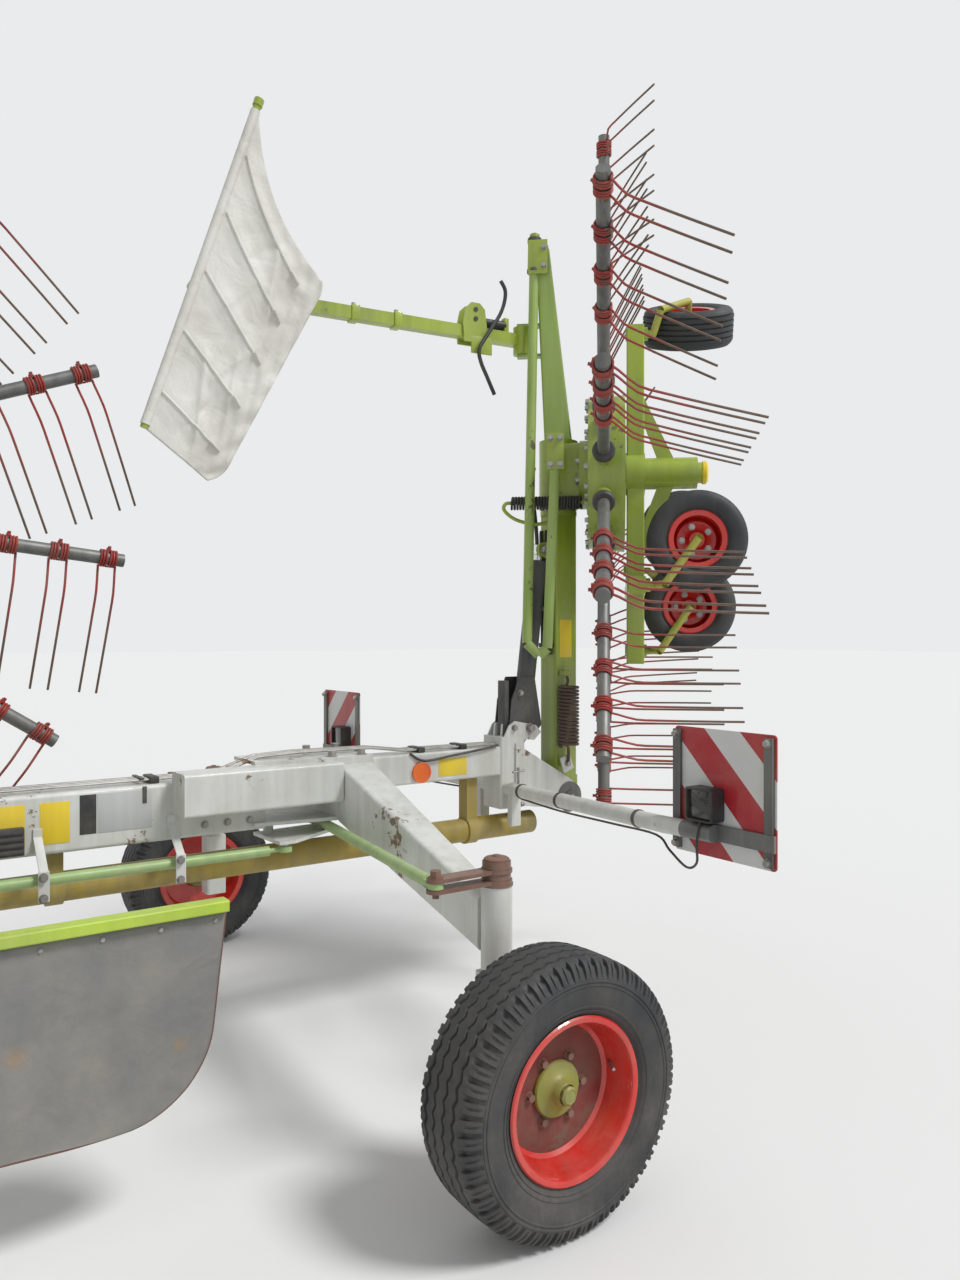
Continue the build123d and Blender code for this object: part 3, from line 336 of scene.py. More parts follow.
lookKeys = ("color", "shade", "bare", "chips", "dust", "rough")
usualLook = {"dustColor": (0.40, 0.35, 0.27), "dustScale": 5.0, "dustLow": 1.6, "bump": 0.12, "metal": 0.0, "coat": 0.0}
lookTable = {
    "beamPaint": ((0.68, 0.69, 0.66), (0.52, 0.52, 0.48), (0.17, 0.10, 0.06), 0.5, 0.4, (0.30, 0.55), {"coat": 0.2}),
    "limePaint": (
        (0.33, 0.43, 0.035), (0.21, 0.29, 0.03), (0.12, 0.10, 0.07), 0.5, 0.35, (0.28, 0.5), {"coat": 0.3, "dustLow": 3.4}),
    "limeFaded": ((0.33, 0.46, 0.12), (0.24, 0.34, 0.055), (0.12, 0.10, 0.07), 0.35, 0.35, (0.3, 0.5), {"dustLow": 3.4}),
    "limeBright": ((0.44, 0.60, 0.05), (0.34, 0.47, 0.04), (0.20, 0.18, 0.10), 0.25, 0.3, (0.3, 0.5), {}),
    "rodPaint": ((0.36, 0.50, 0.20), (0.26, 0.38, 0.15), (0.16, 0.11, 0.07), 0.4, 0.3, (0.3, 0.5), {}),
    "oliveGuard": ((0.36, 0.26, 0.03), (0.22, 0.17, 0.03), (0.13, 0.11, 0.05), 0.2, 0.5, (0.38, 0.6), {}),
    "redPaint": (
        (0.62, 0.020, 0.012), (0.46, 0.016, 0.010), (0.12, 0.05, 0.04), 0.3, 0.22, (0.20, 0.42),
        {"coat": 0.5, "dustScale": 9.0}),
    # the sunk disc: the rim's red made darker as painted shade, with heavy dust over it
    "rimDiscShadeAndDust": (
        (0.20, 0.030, 0.024), (0.12, 0.030, 0.024), (0.13, 0.085, 0.06), 0.8, 0.95, (0.5, 0.75),
        {"dustScale": 12.0, "dustColor": (0.17, 0.12, 0.085)}),
    "rustSteel": ((0.21, 0.105, 0.075), (0.13, 0.07, 0.05), (0.30, 0.24, 0.20), 0.5, 0.3, (0.55, 0.8), {"dustLow": 3.0}),
    "springRust": ((0.085, 0.045, 0.036), (0.05, 0.03, 0.025), (0.16, 0.09, 0.06), 0.6, 0.2, (0.5, 0.75), {"dustLow": 4.0}),
    "smokeLens": ((0.012, 0.012, 0.014), (0.02, 0.02, 0.022), (0.05, 0.05, 0.05), 0.05, 0.15, (0.08, 0.18), {"coat": 0.8}),
    "coilPaint": ((0.33, 0.025, 0.018), (0.20, 0.018, 0.014), (0.10, 0.055, 0.04), 0.6, 0.25, (0.4, 0.6), {"dustLow": 5.0}),
    "galvSteel": ((0.19, 0.19, 0.18), (0.11, 0.11, 0.11), (0.12, 0.08, 0.05), 0.4, 0.2, (0.4, 0.62), {"metal": 0.7}),
    "bareSteel": ((0.42, 0.41, 0.39), (0.26, 0.25, 0.23), (0.15, 0.09, 0.05), 0.5, 0.3, (0.25, 0.5), {"metal": 0.85}),
    "darkSteel": ((0.085, 0.088, 0.09), (0.05, 0.05, 0.05), (0.10, 0.06, 0.04), 0.4, 0.45, (0.4, 0.65), {"metal": 0.4}),
    "chromeRod": ((0.75, 0.76, 0.77), (0.6, 0.6, 0.6), (0.3, 0.3, 0.3), 0.05, 0.06, (0.08, 0.2), {"metal": 1.0}),
    "blackPlastic": ((0.018, 0.018, 0.019), (0.035, 0.035, 0.035), (0.05, 0.05, 0.05), 0.1, 0.4, (0.4, 0.6), {}),
    "tyreRubber": (
        (0.026, 0.028, 0.032), (0.045, 0.046, 0.048), (0.05, 0.05, 0.05), 0.1, 0.4, (0.55, 0.8),
        {"dustLow": 0.7, "bump": 0.3, "dustColor": (0.24, 0.21, 0.17)}),
    "orangeGlass": ((0.85, 0.16, 0.01), (0.70, 0.11, 0.01), (0.6, 0.1, 0.01), 0.05, 0.15, (0.1, 0.25), {"coat": 0.6}),
    "yellowPlate": ((0.80, 0.60, 0.03), (0.70, 0.50, 0.03), (0.6, 0.6, 0.55), 0.3, 0.25, (0.3, 0.5), {}),
    "greyPlate": ((0.52, 0.53, 0.53), (0.44, 0.45, 0.45), (0.3, 0.3, 0.3), 0.2, 0.3, (0.3, 0.5), {}),
    # the castors' olive made darker for the road wheels' hub: painted shade inside the rim
    "shadedHubOlive": ((0.25, 0.26, 0.03), (0.15, 0.15, 0.03), (0.09, 0.07, 0.04), 0.5, 0.35, (0.3, 0.5), {}),
    "hubPaint": ((0.42, 0.42, 0.06), (0.30, 0.29, 0.05), (0.12, 0.09, 0.05), 0.5, 0.5, (0.35, 0.55), {}),
    "hemBrown": ((0.15, 0.06, 0.045), (0.11, 0.05, 0.04), (0.09, 0.07, 0.05), 0.1, 0.3, (0.6, 0.8), {}),
}
looks = {name: {**usualLook, **dict(zip(lookKeys, row)), **own} for name, (*row, own) in lookTable.items()}
finishes = {name: finish(name, look) for name, look in looks.items()}


def springWire():
    # red near the coil, brown bare steel toward the tip, by the tine's own attribute
    material = finish("tineWire", looks["coilPaint"])
    tree = material.node_tree
    along = addNode(tree, "ShaderNodeAttribute", attribute_name="alongTine").outputs["Fac"]
    patches = noise(tree, objectPlace(tree), 30.0, 4.0)
    edge = spread(tree, maths(tree, "ADD", patches, along), 0.85, 1.15)
    tone = blend(tree, patches, (0.07, 0.045, 0.032, 1), (0.20, 0.13, 0.09, 1))
    color = blend(tree, edge, tree.nodes["dust"].outputs["Color"], tone)
    feed(tree, tree.nodes["Principled BSDF"], {"Base Color": color})
    return material


def splitFinish(name, first, second, axis, limit):
    # one look up to a place along an axis and another beyond it
    material = finish(name, {**looks[first], "coat": 0.0})
    tree = material.node_tree
    split = addNode(tree, "ShaderNodeSeparateXYZ", {0: objectPlace(tree)}).outputs
    beyond = maths(tree, "GREATER_THAN", maths(tree, "ABSOLUTE", split[axis]), limit)
    color = blend(tree, beyond, tree.nodes["wear"].outputs["Color"], wearNode(tree, looks[second], 20.0))
    feed(tree, tree.nodes["dust"], {"Base": color})
    return material


def stripedBoard():
    # red and white slanted bands on the marker boards
    material = finish("markerBoard", {**looks["beamPaint"], "coat": 0.3})
    tree = material.node_tree
    bandPitch, bandStart = 0.282, 0.39
    split = addNode(tree, "ShaderNodeSeparateXYZ", {0: objectPlace(tree)}).outputs
    slant = maths(tree, "ADD", maths(tree, "ABSOLUTE", split[1]), split[2])
    part = maths(tree, "FRACT", maths(tree, "MULTIPLY_ADD", slant, 1 / bandPitch, bandStart))
    bands = blend(tree, maths(tree, "GREATER_THAN", part, 0.5), (0.66, 0.66, 0.65, 1), (0.42, 0.012, 0.022, 1))
    feed(tree, tree.nodes["dust"], {"Base": bands})
    return material


def canvasCloth(name, look):
    # coated cloth: fine weave, creases, dirt and rusty marks
    material, tree, shader = newMaterial(name)
    place = objectPlace(tree)
    dirtAndShade = spread(tree, noise(tree, place, 3.2, 7.0, Roughness=0.65), 0.42, 0.78)
    cloth = blend(tree, dirtAndShade, (*look["color"], 1), (*look["shade"], 1))
    spots = addNode(tree, "ShaderNodeTexVoronoi", {"Vector": place, "Scale": 2.6, "Randomness": 0.9}).outputs["Distance"]
    rusty = maths(tree, "MULTIPLY", spread(tree, spots, 0.075, 0.0), look["rust"], clamp=True)
    cloth = blend(tree, rusty, cloth, (0.26, 0.17, 0.09, 1))
    for x, z, size in look["stains"]:
        away = addNode(
            tree, "ShaderNodeVectorMath", {0: place, 1: (axleX + x, 0.85, z)}, operation="DISTANCE").outputs["Value"]
        cloth = blend(tree, spread(tree, away, size, size * 0.15, 0.0, 0.7), cloth, (0.27, 0.17, 0.09, 1))
    dust = addNode(tree, "ShaderNodeGroup", {"Base": cloth, "Amount": 0.35, "Low": 1.0}, node_tree=dustFilm)
    weave = []
    for way in "ZX":
        wave = addNode(tree, "ShaderNodeTexWave", {"Vector": place, "Scale": 160.0}, bands_direction=way)
        weave.append(wave.outputs["Fac"])
    fine = addNode(tree, "ShaderNodeBump", {"Height": maths(tree, "ADD", *weave), "Strength": 0.12, "Distance": 0.001})
    folds = noise(tree, place, 9.0, 5.0, Distortion=0.8)
    broad = addNode(
        tree, "ShaderNodeBump", {"Height": folds, "Normal": fine.outputs[0], "Strength": 0.55, "Distance": 0.014})
    feed(tree, shader, {
        "Base Color": dust.outputs["Color"], "Normal": broad.outputs[0],
        "Roughness": look["rough"], "Sheen Weight": look["sheen"]})
    return material


whiteCloth = {
    "color": (0.70, 0.69, 0.65), "shade": (0.50, 0.48, 0.42), "rough": 0.55, "sheen": 0.1, "rust": 0.0, "stains": (),
}
greyCloth = {
    "color": (0.17, 0.17, 0.165), "shade": (0.24, 0.235, 0.22), "rough": 0.6, "sheen": 0.15, "rust": 0.9,
    # x, z and size of each rusty mark
    "stains": ((1.173, 0.528, 0.034), (0.793, 0.471, 0.026), (1.62, 0.44, 0.03), (2.31, 0.58, 0.028)),
}
finishes.update({
    "tineWire": springWire(), "markerBoard": stripedBoard(),
    "lampArmPaint": splitFinish("lampArmPaint", "beamPaint", "galvSteel", 1, 1.155),
    "knucklePaint": splitFinish("knucklePaint", "beamPaint", "rustSteel", 2, 0.815),
    "whiteCanvas": canvasCloth("whiteCanvas", whiteCloth), "greyCanvas": canvasCloth("greyCanvas", greyCloth),
})
print("materials made:", len(finishes))

# node trees for repeated pieces


def geometryTree(name, inputs):
    shape = ("Geometry", "Geometry")
    return newGroup(name, "GeometryNodeTree", (shape, *inputs, ("Material", "Material")), (shape,))


def closeTree(tree, given, result, grown):
    real = addNode(tree, "GeometryNodeRealizeInstances", {0: grown})
    paint = addNode(tree, "GeometryNodeSetMaterial", {"Geometry": real.outputs[0], "Material": given["Material"]})
    feed(tree, result, {0: paint.outputs[0]})
    return tree


def copiesAt(tree, points, copy, turn):
    shape = addNode(tree, "GeometryNodeObjectInfo", {"Object": copy, 1: True}).outputs["Geometry"]
    return addNode(tree, "GeometryNodeInstanceOnPoints", {"Points": points, "Instance": shape, "Rotation": turn}).outputs[0]


def ringTree():
    # copies of a piece in a ring round z, each turned to face out
    tree, given, result = geometryTree("ringOfCopies", (
        ("Count", "Int", 12), ("Radius", "Float", 0.1), ("Turn", "Float", 0.0), ("Copy", "Object")))
    circle = addNode(tree, "GeometryNodeMeshCircle", {"Vertices": given["Count"], "Radius": given["Radius"]})
    spin = addNode(tree, "ShaderNodeCombineXYZ", {2: given["Turn"]})
    turned = addNode(tree, "GeometryNodeTransform", {"Geometry": circle.outputs[0], "Rotation": spin.outputs[0]})
    place = addNode(tree, "GeometryNodeInputPosition")
    flat = addNode(tree, "ShaderNodeVectorMath", {0: place.outputs[0], 1: (1.0, 1.0, 0.0)}, operation="MULTIPLY")
    face = addNode(tree, "FunctionNodeAlignEulerToVector", {"Vector": flat.outputs[0]}, axis="X", pivot_axis="Z")
    return closeTree(tree, given, result, copiesAt(tree, turned.outputs[0], given["Copy"], face.outputs[0]))


def placesTree():
    # copies of a piece at the points of a mesh, turned by their own attribute
    tree, given, result = geometryTree("copiesAtPlaces", (("Copy", "Object"),))
    turn = addNode(tree, "GeometryNodeInputNamedAttribute", {0: "turn"}, data_type="FLOAT_VECTOR").outputs[0]
    return closeTree(tree, given, result, copiesAt(tree, given["Geometry"], given["Copy"], turn))


def springTree():
    # round wire wound along z
    tree, given, result = geometryTree("woundSpring", (
        ("Turns", "Float", 5.0), ("Radius", "Float", 0.03), ("Length", "Float", 0.05),
        ("Wire", "Float", 0.0045), ("Steps", "Int", 14)))
    coil = addNode(tree, "GeometryNodeCurveSpiral", {
        "Resolution": given["Steps"], "Rotations": given["Turns"], "Start Radius": given["Radius"],
        "End Radius": given["Radius"], "Height": given["Length"]})
    ring = addNode(tree, "GeometryNodeCurvePrimitiveCircle", {"Radius": given["Wire"], "Resolution": 6})
    skin = addNode(
        tree, "GeometryNodeCurveToMesh", {"Curve": coil.outputs[0], "Profile Curve": ring.outputs[0], "Fill Caps": True})
    return closeTree(tree, given, result, skin.outputs[0])


trees = {"ring": ringTree(), "places": placesTree(), "spring": springTree()}


def growMesh(kind, finishName, base=None, **values):
    # runs a tree on a carrier and gives back a plain mesh
    carrier = bpy.data.objects.new("carrier", base or bpy.data.meshes.new("carrier"))
    bpy.context.scene.collection.objects.link(carrier)
    modifier = carrier.modifiers.new("grow", "NODES")
    modifier.node_group = trees[kind]
    ids = {item.name: item.identifier for item in trees[kind].interface.items_tree if item.in_out == "INPUT"}
    for label, value in {**values, "Material": finishes[finishName]}.items():
        modifier[ids[label]] = value
    graph = bpy.context.evaluated_depsgraph_get()
    mesh = bpy.data.meshes.new_from_object(carrier.evaluated_get(graph))
    bpy.data.objects.remove(carrier)
    return mesh


def joinInto(bm, mesh, matrix, index=0):
    copy = mesh.copy()
    copy.transform(matrix)
    for polygon in copy.polygons:
        polygon.material_index = index
    bm.from_mesh(copy)
    bpy.data.meshes.remove(copy)


def pattern(name, bm, finishName, smooth=True):
    # a piece that is only copied from, so it leaves the scene
    piece = fromBmesh(name, bm, [finishes[finishName]], smooth)
    bpy.context.scene.collection.objects.unlink(piece)
    return piece


def boltPattern(across, tall):
    washer = 0.0025
    bm = bmesh.new()
    lathe(bm, [(1e-5, 0), (across * 0.72, 0), (across * 0.72, washer), (1e-5, washer)], 16, Matrix())
    bmesh.ops.create_cone(
        bm, cap_ends=True, segments=6, radius1=across * 0.56, radius2=across * 0.53, depth=tall,
        matrix=shift(0, 0, washer + tall / 2))
    return pattern("boltPattern", bm, "bareSteel", smooth=False)


bolt, bigBolt, rivet = boltPattern(0.019, 0.012), boltPattern(0.030, 0.018), boltPattern(0.008, 0.003)


def boltRing(bm, count, radius, matrix, turn=0.0, index=0):
    joinInto(bm, growMesh("ring", "bareSteel", Count=count, Radius=radius, Turn=turn, Copy=bolt), matrix, index)


def boltAt(bm, points, direction, index=0, copy=bolt, base=Matrix()):
    # a bolt head at each point, facing a direction, both in the base's frame
    way = base.to_3x3() @ Vector(direction)
    for point in moved(base, points):
        joinInto(bm, copy.data, lookAlong(point, point + way), index)


# rotor frames, as in the CAD
turnAngle = math.radians(42.5)
turnCos, turnSin = math.cos(turnAngle), math.sin(turnAngle)
rearFrame = mat4((axleX - 1.160 - 0.2 * turnCos, 0.2 * turnSin, 2.280), (0, 0, -1), (turnCos, -turnSin, 0))
rotors = {
    "rear": {
        "body": "rear_head", "spin": "rear_rotor", "rotor": rearFrame, "head": rearFrame,
        "arm": mat4((axleX - 1.160, 0, 0.870), (1, 0, 0), (0, 0, 1)), "eye": 1.075,
        "first": 10.6, "missing": 5, "twist": 62.0,
    },
    "front": {
        "body": "front_lift_arm", "spin": "front_rotor",
        "rotor": mat4((axleX + 2.050, -0.380, 2.000), (1, 0, 0), (0, 1, 0)),
        "head": mat4((axleX + 2.050, -0.380, 2.000), (0, 0, -1), (0, 1, 0)),
        "arm": mat4((axleX + 2.050, -0.180, 0.880), (0, 1, 0), (0, 0, 1)), "eye": 0.900,
        "first": 7.85, "missing": None, "twist": 75.0,
    },
}
armCount = 13


def twistAt(angle, folded):
    # how far the cam has laid an arm over at this angle round the rotor
    turn = (angle + 180) % 360 - 180
    if -40 <= turn <= 55:
        return 0.0
    if 55 < turn < 150:
        return folded * ((turn - 55) / 95) ** 1.6
    if -110 < turn < -40:
        return folded * (-40 - turn) / 70
    return folded


# tines
tineSizes = {
    "pairs": 4, "first": 0.890, "pitch": 0.168, "spread": 0.060, "coil": 0.0295, "wire": 0.0043, "turns": 3.0,
    "coilLength": 0.028,
    "leg": (
        (-0.002, -0.0295), (-0.010, -0.050), (-0.042, -0.118), (-0.047, -0.19), (-0.0495, -0.32), (-0.050, -0.42),
        (-0.050, -0.500)),
}


def tinePattern():
    # one arm's worth of tines along x: two coils, two legs and a clamp for each pair
    s = tineSizes
    coil = growMesh("spring", "tineWire", Turns=s["turns"], Radius=s["coil"], Length=s["coilLength"], Wire=s["wire"])
    bm = bmesh.new()
    along = bm.verts.layers.float.new("alongTine")
    for pair in range(s["pairs"]):
        x = s["first"] + pair * s["pitch"]
        for side in (-1, 1):
            base = x + side * (0.033 - 0.0022) - (s["coilLength"] if side > 0 else 0)
            joinInto(bm, coil, shift(base, 0, 0) @ Matrix.Rotation(math.pi / 2, 4, "Y"))
            path = smoothPath([(x + side * s["spread"] / 2, y, z) for y, z in s["leg"]], 2)
            marks = [min(abs(p.z) / 0.5, 1.0) for p in path]
            tubeAlong(bm, path, s["wire"], 6, layer=along, values=marks)
        block(bm, shift(x, 0.006, 0.0315), (0.012, 0.030, 0.012), 0.002)
        tubeAlong(bm, [(x, 0, 0.026), (x, 0, 0.046)], 0.006, 6, layer=along, values=[0, 0])
    return pattern("tinePattern", bm, "tineWire")


tineCopy = tinePattern()
for name, rotor in rotors.items():
    angles = [rotor["first"] + k * 360 / armCount for k in range(armCount) if k != rotor["missing"]]
    spots = bpy.data.meshes.new("armPlaces")
    spots.from_pydata([(0, 0, 0)] * len(angles), [], [])
    layer = spots.attributes.new("turn", "FLOAT_VECTOR", "POINT")
    for spot, angle in zip(layer.data, angles):
        twist = math.radians(-twistAt(angle, rotor["twist"]))
        spot.vector = (Matrix.Rotation(math.radians(angle), 4, "Z") @ Matrix.Rotation(twist, 4, "X")).to_euler("XYZ")
    mesh = growMesh("places", "tineWire", spots, Copy=tineCopy)
    mesh.transform(rotor["rotor"])
    settle(placeMesh(f"{name}TineSprings", mesh), rotor["spin"], f"{name}_tines")
print("tines made")

# wheels
smallWheel = {"radius": 0.200, "width": 0.165, "bead": 0.1003, "flange": 0.118, "steps": 64}


def smallTyreProfile(w):
    half = w["width"] / 2
    r = w["radius"]
    side = [
        (w["bead"], half * 0.79), (w["flange"] + 0.004, half * 0.80), (w["flange"] + 0.013, half * 0.92),
        (0.145, half * 0.985), (0.165, half), (0.182, half * 0.96), (0.192, half * 0.84), (0.1965, half * 0.74),
    ]
    points = [(r1, -z) for r1, z in side]
    ribs = 5
    for k in range(ribs):
        a = -half * 0.70 + k * half * 1.4 / ribs
        b = a + half * 1.4 / ribs
        points += [
            (r - 0.0005, a + 0.002), (r, (a + b) / 2), (r - 0.0005, b - 0.006), (r - 0.008, b - 0.005),
            (r - 0.008, b - 0.001),
        ]
    return points + side[::-1]


def smallRimProfile(w):
    half = w["width"] * 0.4 + 0.0028
    bead = w["bead"] - 0.0003
    return [
        (0.0163, -0.030), (0.030, -0.030), (0.032, -0.004), (0.080, -0.003), (0.088, -0.020), (bead - 0.006, -0.030),
        (bead - 0.005, -half), (w["flange"] - 0.004, -half - 0.003), (w["flange"], -half),
        (w["flange"] - 0.001, -half + 0.002), (bead, -half + 0.003), (bead - 0.001, -0.03), (bead - 0.001, 0.03),
        (bead, half - 0.003), (w["flange"] - 0.001, half - 0.002), (w["flange"], half), (w["flange"] - 0.004, half + 0.003),
        (bead - 0.005, half), (bead - 0.006, -0.018), (0.085, -0.006), (0.078, 0.0022), (0.048, 0.0030), (0.036, 0.012),
        (0.030, 0.030), (0.0163, 0.030),
    ]


wheelTable = ((0.320, 0.265, 90.0), (0.580, -0.105, 90.0), (0.210, -0.500, 65.0), (-0.683, -0.145, 155.0))
for name, rotor in rotors.items():
    for number, (x, y, angle) in enumerate(wheelTable, start=1):
        side = math.radians(angle)
        base = rotor["rotor"] @ mat4((x, y, -0.374), (0, 0, 1), (math.cos(side), math.sin(side), 0))
        bm = bmesh.new()
        lathe(bm, smallTyreProfile(smallWheel), smallWheel["steps"], base, 0)
        lathe(bm, smallRimProfile(smallWheel), smallWheel["steps"], base, 1)
        boltRing(bm, 5, 0.058, base @ shift(0, 0, 0.002), index=2)
        wheelName = f"{name}_wheel_{number}"
        finishPiece(
            f"{name}ChassisWheel{number}", bm, ("tyreRubber", "redPaint", "bareSteel"), wheelName, wheelName)

roadWheel = {
    "radius": 0.350, "width": 0.232, "bead": 0.1908, "flange": 0.208, "steps": 96, "pitches": 52, "reach": 1.375,
    "height": 0.415, "grooves": ((-0.058, 0.0048), (-0.020, 0.0034), (0.020, 0.0034), (0.058, 0.0048)),
    "grooveDepth": 0.009, "zigzag": 0.0052, "notch": 0.0125, "marks": (0.0, 0.045, 0.37, 0.415, 0.58, 0.615, 0.78, 0.815),
    "lip": 0.0007, "crown": 0.55,
}
shoulderLine = (
    # radius, |z|, how deep the long notch and the short one go here
    (0.3464, 0.0730, 0.0, 0.0), (0.3456, 0.0775, 0.15, 0.0), (0.3442, 0.0835, 1.0, 0.0), (0.3415, 0.0910, 1.0, 0.1),
    (0.3360, 0.0985, 1.0, 0.5), (0.3270, 0.1055, 1.0, 0.5), (0.3160, 0.1105, 0.8, 0.4), (0.3065, 0.1130, 0.45, 0.1),
    (0.3020, 0.1138, 0.0, 0.0),
)
sideLine = (
    (0.3000, 0.1138), (0.2985, 0.1160), (0.2950, 0.1160), (0.2935, 0.1138), (0.2900, 0.1138), (0.2885, 0.1158),
    (0.2855, 0.1158), (0.2840, 0.1138), (0.2700, 0.1136), (0.2480, 0.1108), (0.2360, 0.1070), (0.2345, 0.1088),
    (0.2305, 0.1076), (0.2290, 0.1048), (0.2240, 0.1022), (0.2225, 0.1040), (0.2190, 0.1018), (0.2170, 0.0975),
    (0.2110, 0.0925), (0.1908, 0.0917),
)


def treadPattern():
    # one pitch of the tyre: ribs between zigzag grooves, notched shoulders, plain side walls
    w = roadWheel
    pitch = 2 * math.pi / w["pitches"]
    bm = bmesh.new()
    rows = []
    for mark in (*w["marks"], 1.0):
        zig = (1 - 4 * abs(mark % 1.0 - 0.5)) * w["zigzag"]
        long = 1.0 if 0.03 < mark < 0.38 else 0.0
        short = 1.0 if 0.60 < mark < 0.79 else 0.0
        half = []
        for r, z, deep, little in shoulderLine:
            sink = w["notch"] * (deep * long + little * short)
            lean = min(max((z - 0.09) / 0.02, 0.0), 1.0)
            half.append((r - sink * (1 - 0.6 * lean), z - sink * 0.55 * lean, (0.3464 - r) * 1.2))
        half += [(r, z, 0.0) for r, z in sideLine]
        line = [(r, -z, lag) for r, z, lag in reversed(half)]
        for z, wide in w["grooves"]:
            top = w["radius"] - w["lip"] - w["crown"] * z * z
            middle = z + zig
            line += [
                (top, middle - wide - 0.0012, 0.0), (top - w["grooveDepth"], middle - wide * 0.6, 0.0),
                (top - w["grooveDepth"], middle + wide * 0.6, 0.0), (top, middle + wide + 0.0012, 0.0),
            ]
        row = []
        for r, z, lag in line + half:
            turn = (mark - 0.5 + lag) * pitch
            row.append(bm.verts.new((r * math.cos(turn) - w["radius"], r * math.sin(turn), z)))
        rows.append(row)
    gridFaces(bm, rows, closed=True)
    return pattern("treadPattern", bm, "tyreRubber", smooth=False)


treadCopy = treadPattern()


def roadTyre(base, label):
    bm = bmesh.new()
    joinInto(
        bm, growMesh("ring", "tyreRubber", Count=roadWheel["pitches"], Radius=roadWheel["radius"], Copy=treadCopy), base, 0)
    finishPiece(
        f"roadTyre{label}", bm, ("tyreRubber",), f"wheel_{label.lower()}", f"tyre_{label.lower()}", merge=4e-5)


def roadRim(base, label):
    w = roadWheel
    half = w["width"] * 0.4 + 0.0043
    bead = w["bead"] - 0.0003
    disc = w["width"] * 0.4 - 0.088
    profile = [
        (0.070, disc - 0.004), (0.146, disc - 0.006), (0.162, disc - 0.012), (0.172, disc - 0.030), (0.176, -half * 0.75),
        (bead - 0.009, -half), (w["flange"] - 0.006, -half - 0.003), (w["flange"], -half + 0.001),
        (w["flange"] - 0.003, -half + 0.0035), (bead + 0.001, -half + 0.006), (bead, -half + 0.014),
        (bead - 0.006, -half + 0.030), (bead - 0.008, 0), (bead - 0.006, half - 0.030), (bead, half - 0.014),
        (bead + 0.001, half - 0.006), (w["flange"] - 0.003, half - 0.0035), (w["flange"], half - 0.001),
        (w["flange"] - 0.004, half + 0.003), (0.1965, half + 0.0025), (0.1910, half + 0.0005), (0.1872, half - 0.006),
        (0.1855, half - 0.020), (0.1822, half - 0.026), (0.1790, disc + 0.044), (0.1760, disc + 0.037),
        (0.1705, disc + 0.012), (0.1600, disc + 0.004), (0.142, disc + 0.006), (0.110, disc + 0.008), (0.092, disc + 0.004),
        (0.070, disc + 0.004),
    ]
    bm = bmesh.new()
    lathe(bm, profile, w["steps"], base, 0)
    # a layer on the disc's face in that darker red: painted shade of the sunk disc, with dust over it
    dirtAndShade = [
        (0.0720, disc + 0.0046), (0.0920, disc + 0.0046), (0.1100, disc + 0.0086), (0.1420, disc + 0.0066),
        (0.1600, disc + 0.0047), (0.1580, disc + 0.0015), (0.1100, disc + 0.0020), (0.0720, disc + 0.0020),
    ]
    lathe(bm, dirtAndShade, w["steps"], base, 3)
    # hub and nut take the darker olive: painted shade inside the rim
    hub = [
        (0.0263, disc - 0.042), (0.062, disc - 0.042), (0.071, disc - 0.012), (0.0725, disc + 0.012), (0.069, disc + 0.017),
        (0.058, disc + 0.019), (0.041, disc + 0.024), (0.032, disc + 0.036), (0.0285, disc + 0.052), (0.0263, disc + 0.054),
    ]
    lathe(bm, hub, 48, base, 1)
    nut = [
        (0.0, disc + 0.050), (0.0245, disc + 0.050), (0.0250, disc + 0.062), (0.0190, disc + 0.067),
        (0.0170, disc + 0.0655), (0.0, disc + 0.0655),
    ]
    lathe(bm, nut, 8, base, 1)
    boltRing(bm, 6, 0.085, base @ shift(0, 0, disc + 0.0045), index=4)
    valve = ((-0.168, -0.030, disc + 0.020), (-0.158, -0.030, disc + 0.045), (-0.150, -0.029, disc + 0.062))
    tubeAlong(bm, moved(base, valve), 0.0045, 8, 2)
    finishPiece(
        f"roadRim{label}", bm, ("redPaint", "shadedHubOlive", "bareSteel", "rimDiscShadeAndDust", "rustSteel"), f"wheel_{label.lower()}",
        f"rim_{label.lower()}")


for sign, label in ((1, "Left"), (-1, "Right")):
    base = mat4((axleX, sign * roadWheel["reach"], roadWheel["height"]), (1, 0, 0), (0, sign, 0))
    roadTyre(base, label)
    roadRim(base, label)
print("wheels made")

# curtains
rearCurtain = {
    "barBottom": (0.572, -0.243, 2.321), "barTop": (0.176, -0.163, 3.568), "freeTop": (-0.078, -0.111, 2.919),
    "freeBottom": (0.322, -0.192, 2.118),
    "rows": 130, "columns": 64, "thick": 0.003, "billow": 0.011, "hollow": 0.085, "round": 0.13,
    # foot and head level, foot and head place across, height and width of each fold
    "creases": (
        (0.02, 0.34, 0.62, 0.30, 1.1, 0.10), (0.05, 0.30, 0.35, 0.62, -0.8, 0.08), (0.10, 0.46, 0.86, 0.58, 1.0, 0.09),
        (0.26, 0.58, 0.44, 0.80, 0.9, 0.08), (0.33, 0.72, 0.90, 0.66, -0.9, 0.10), (0.44, 0.70, 0.28, 0.50, 0.8, 0.07),
        (0.52, 0.92, 0.78, 0.52, 0.9, 0.09), (0.66, 0.97, 0.34, 0.60, -0.7, 0.08), (0.60, 0.90, 0.93, 0.84, 0.8, 0.07),
    ),
}


def thicken(piece, thick):
    # gives the cloth its thickness and says how large it is
    solid = piece.modifiers.new("thick", "SOLIDIFY")
    solid.thickness = thick
    solid.offset = 0
    return sum(face.area for face in piece.data.polygons)


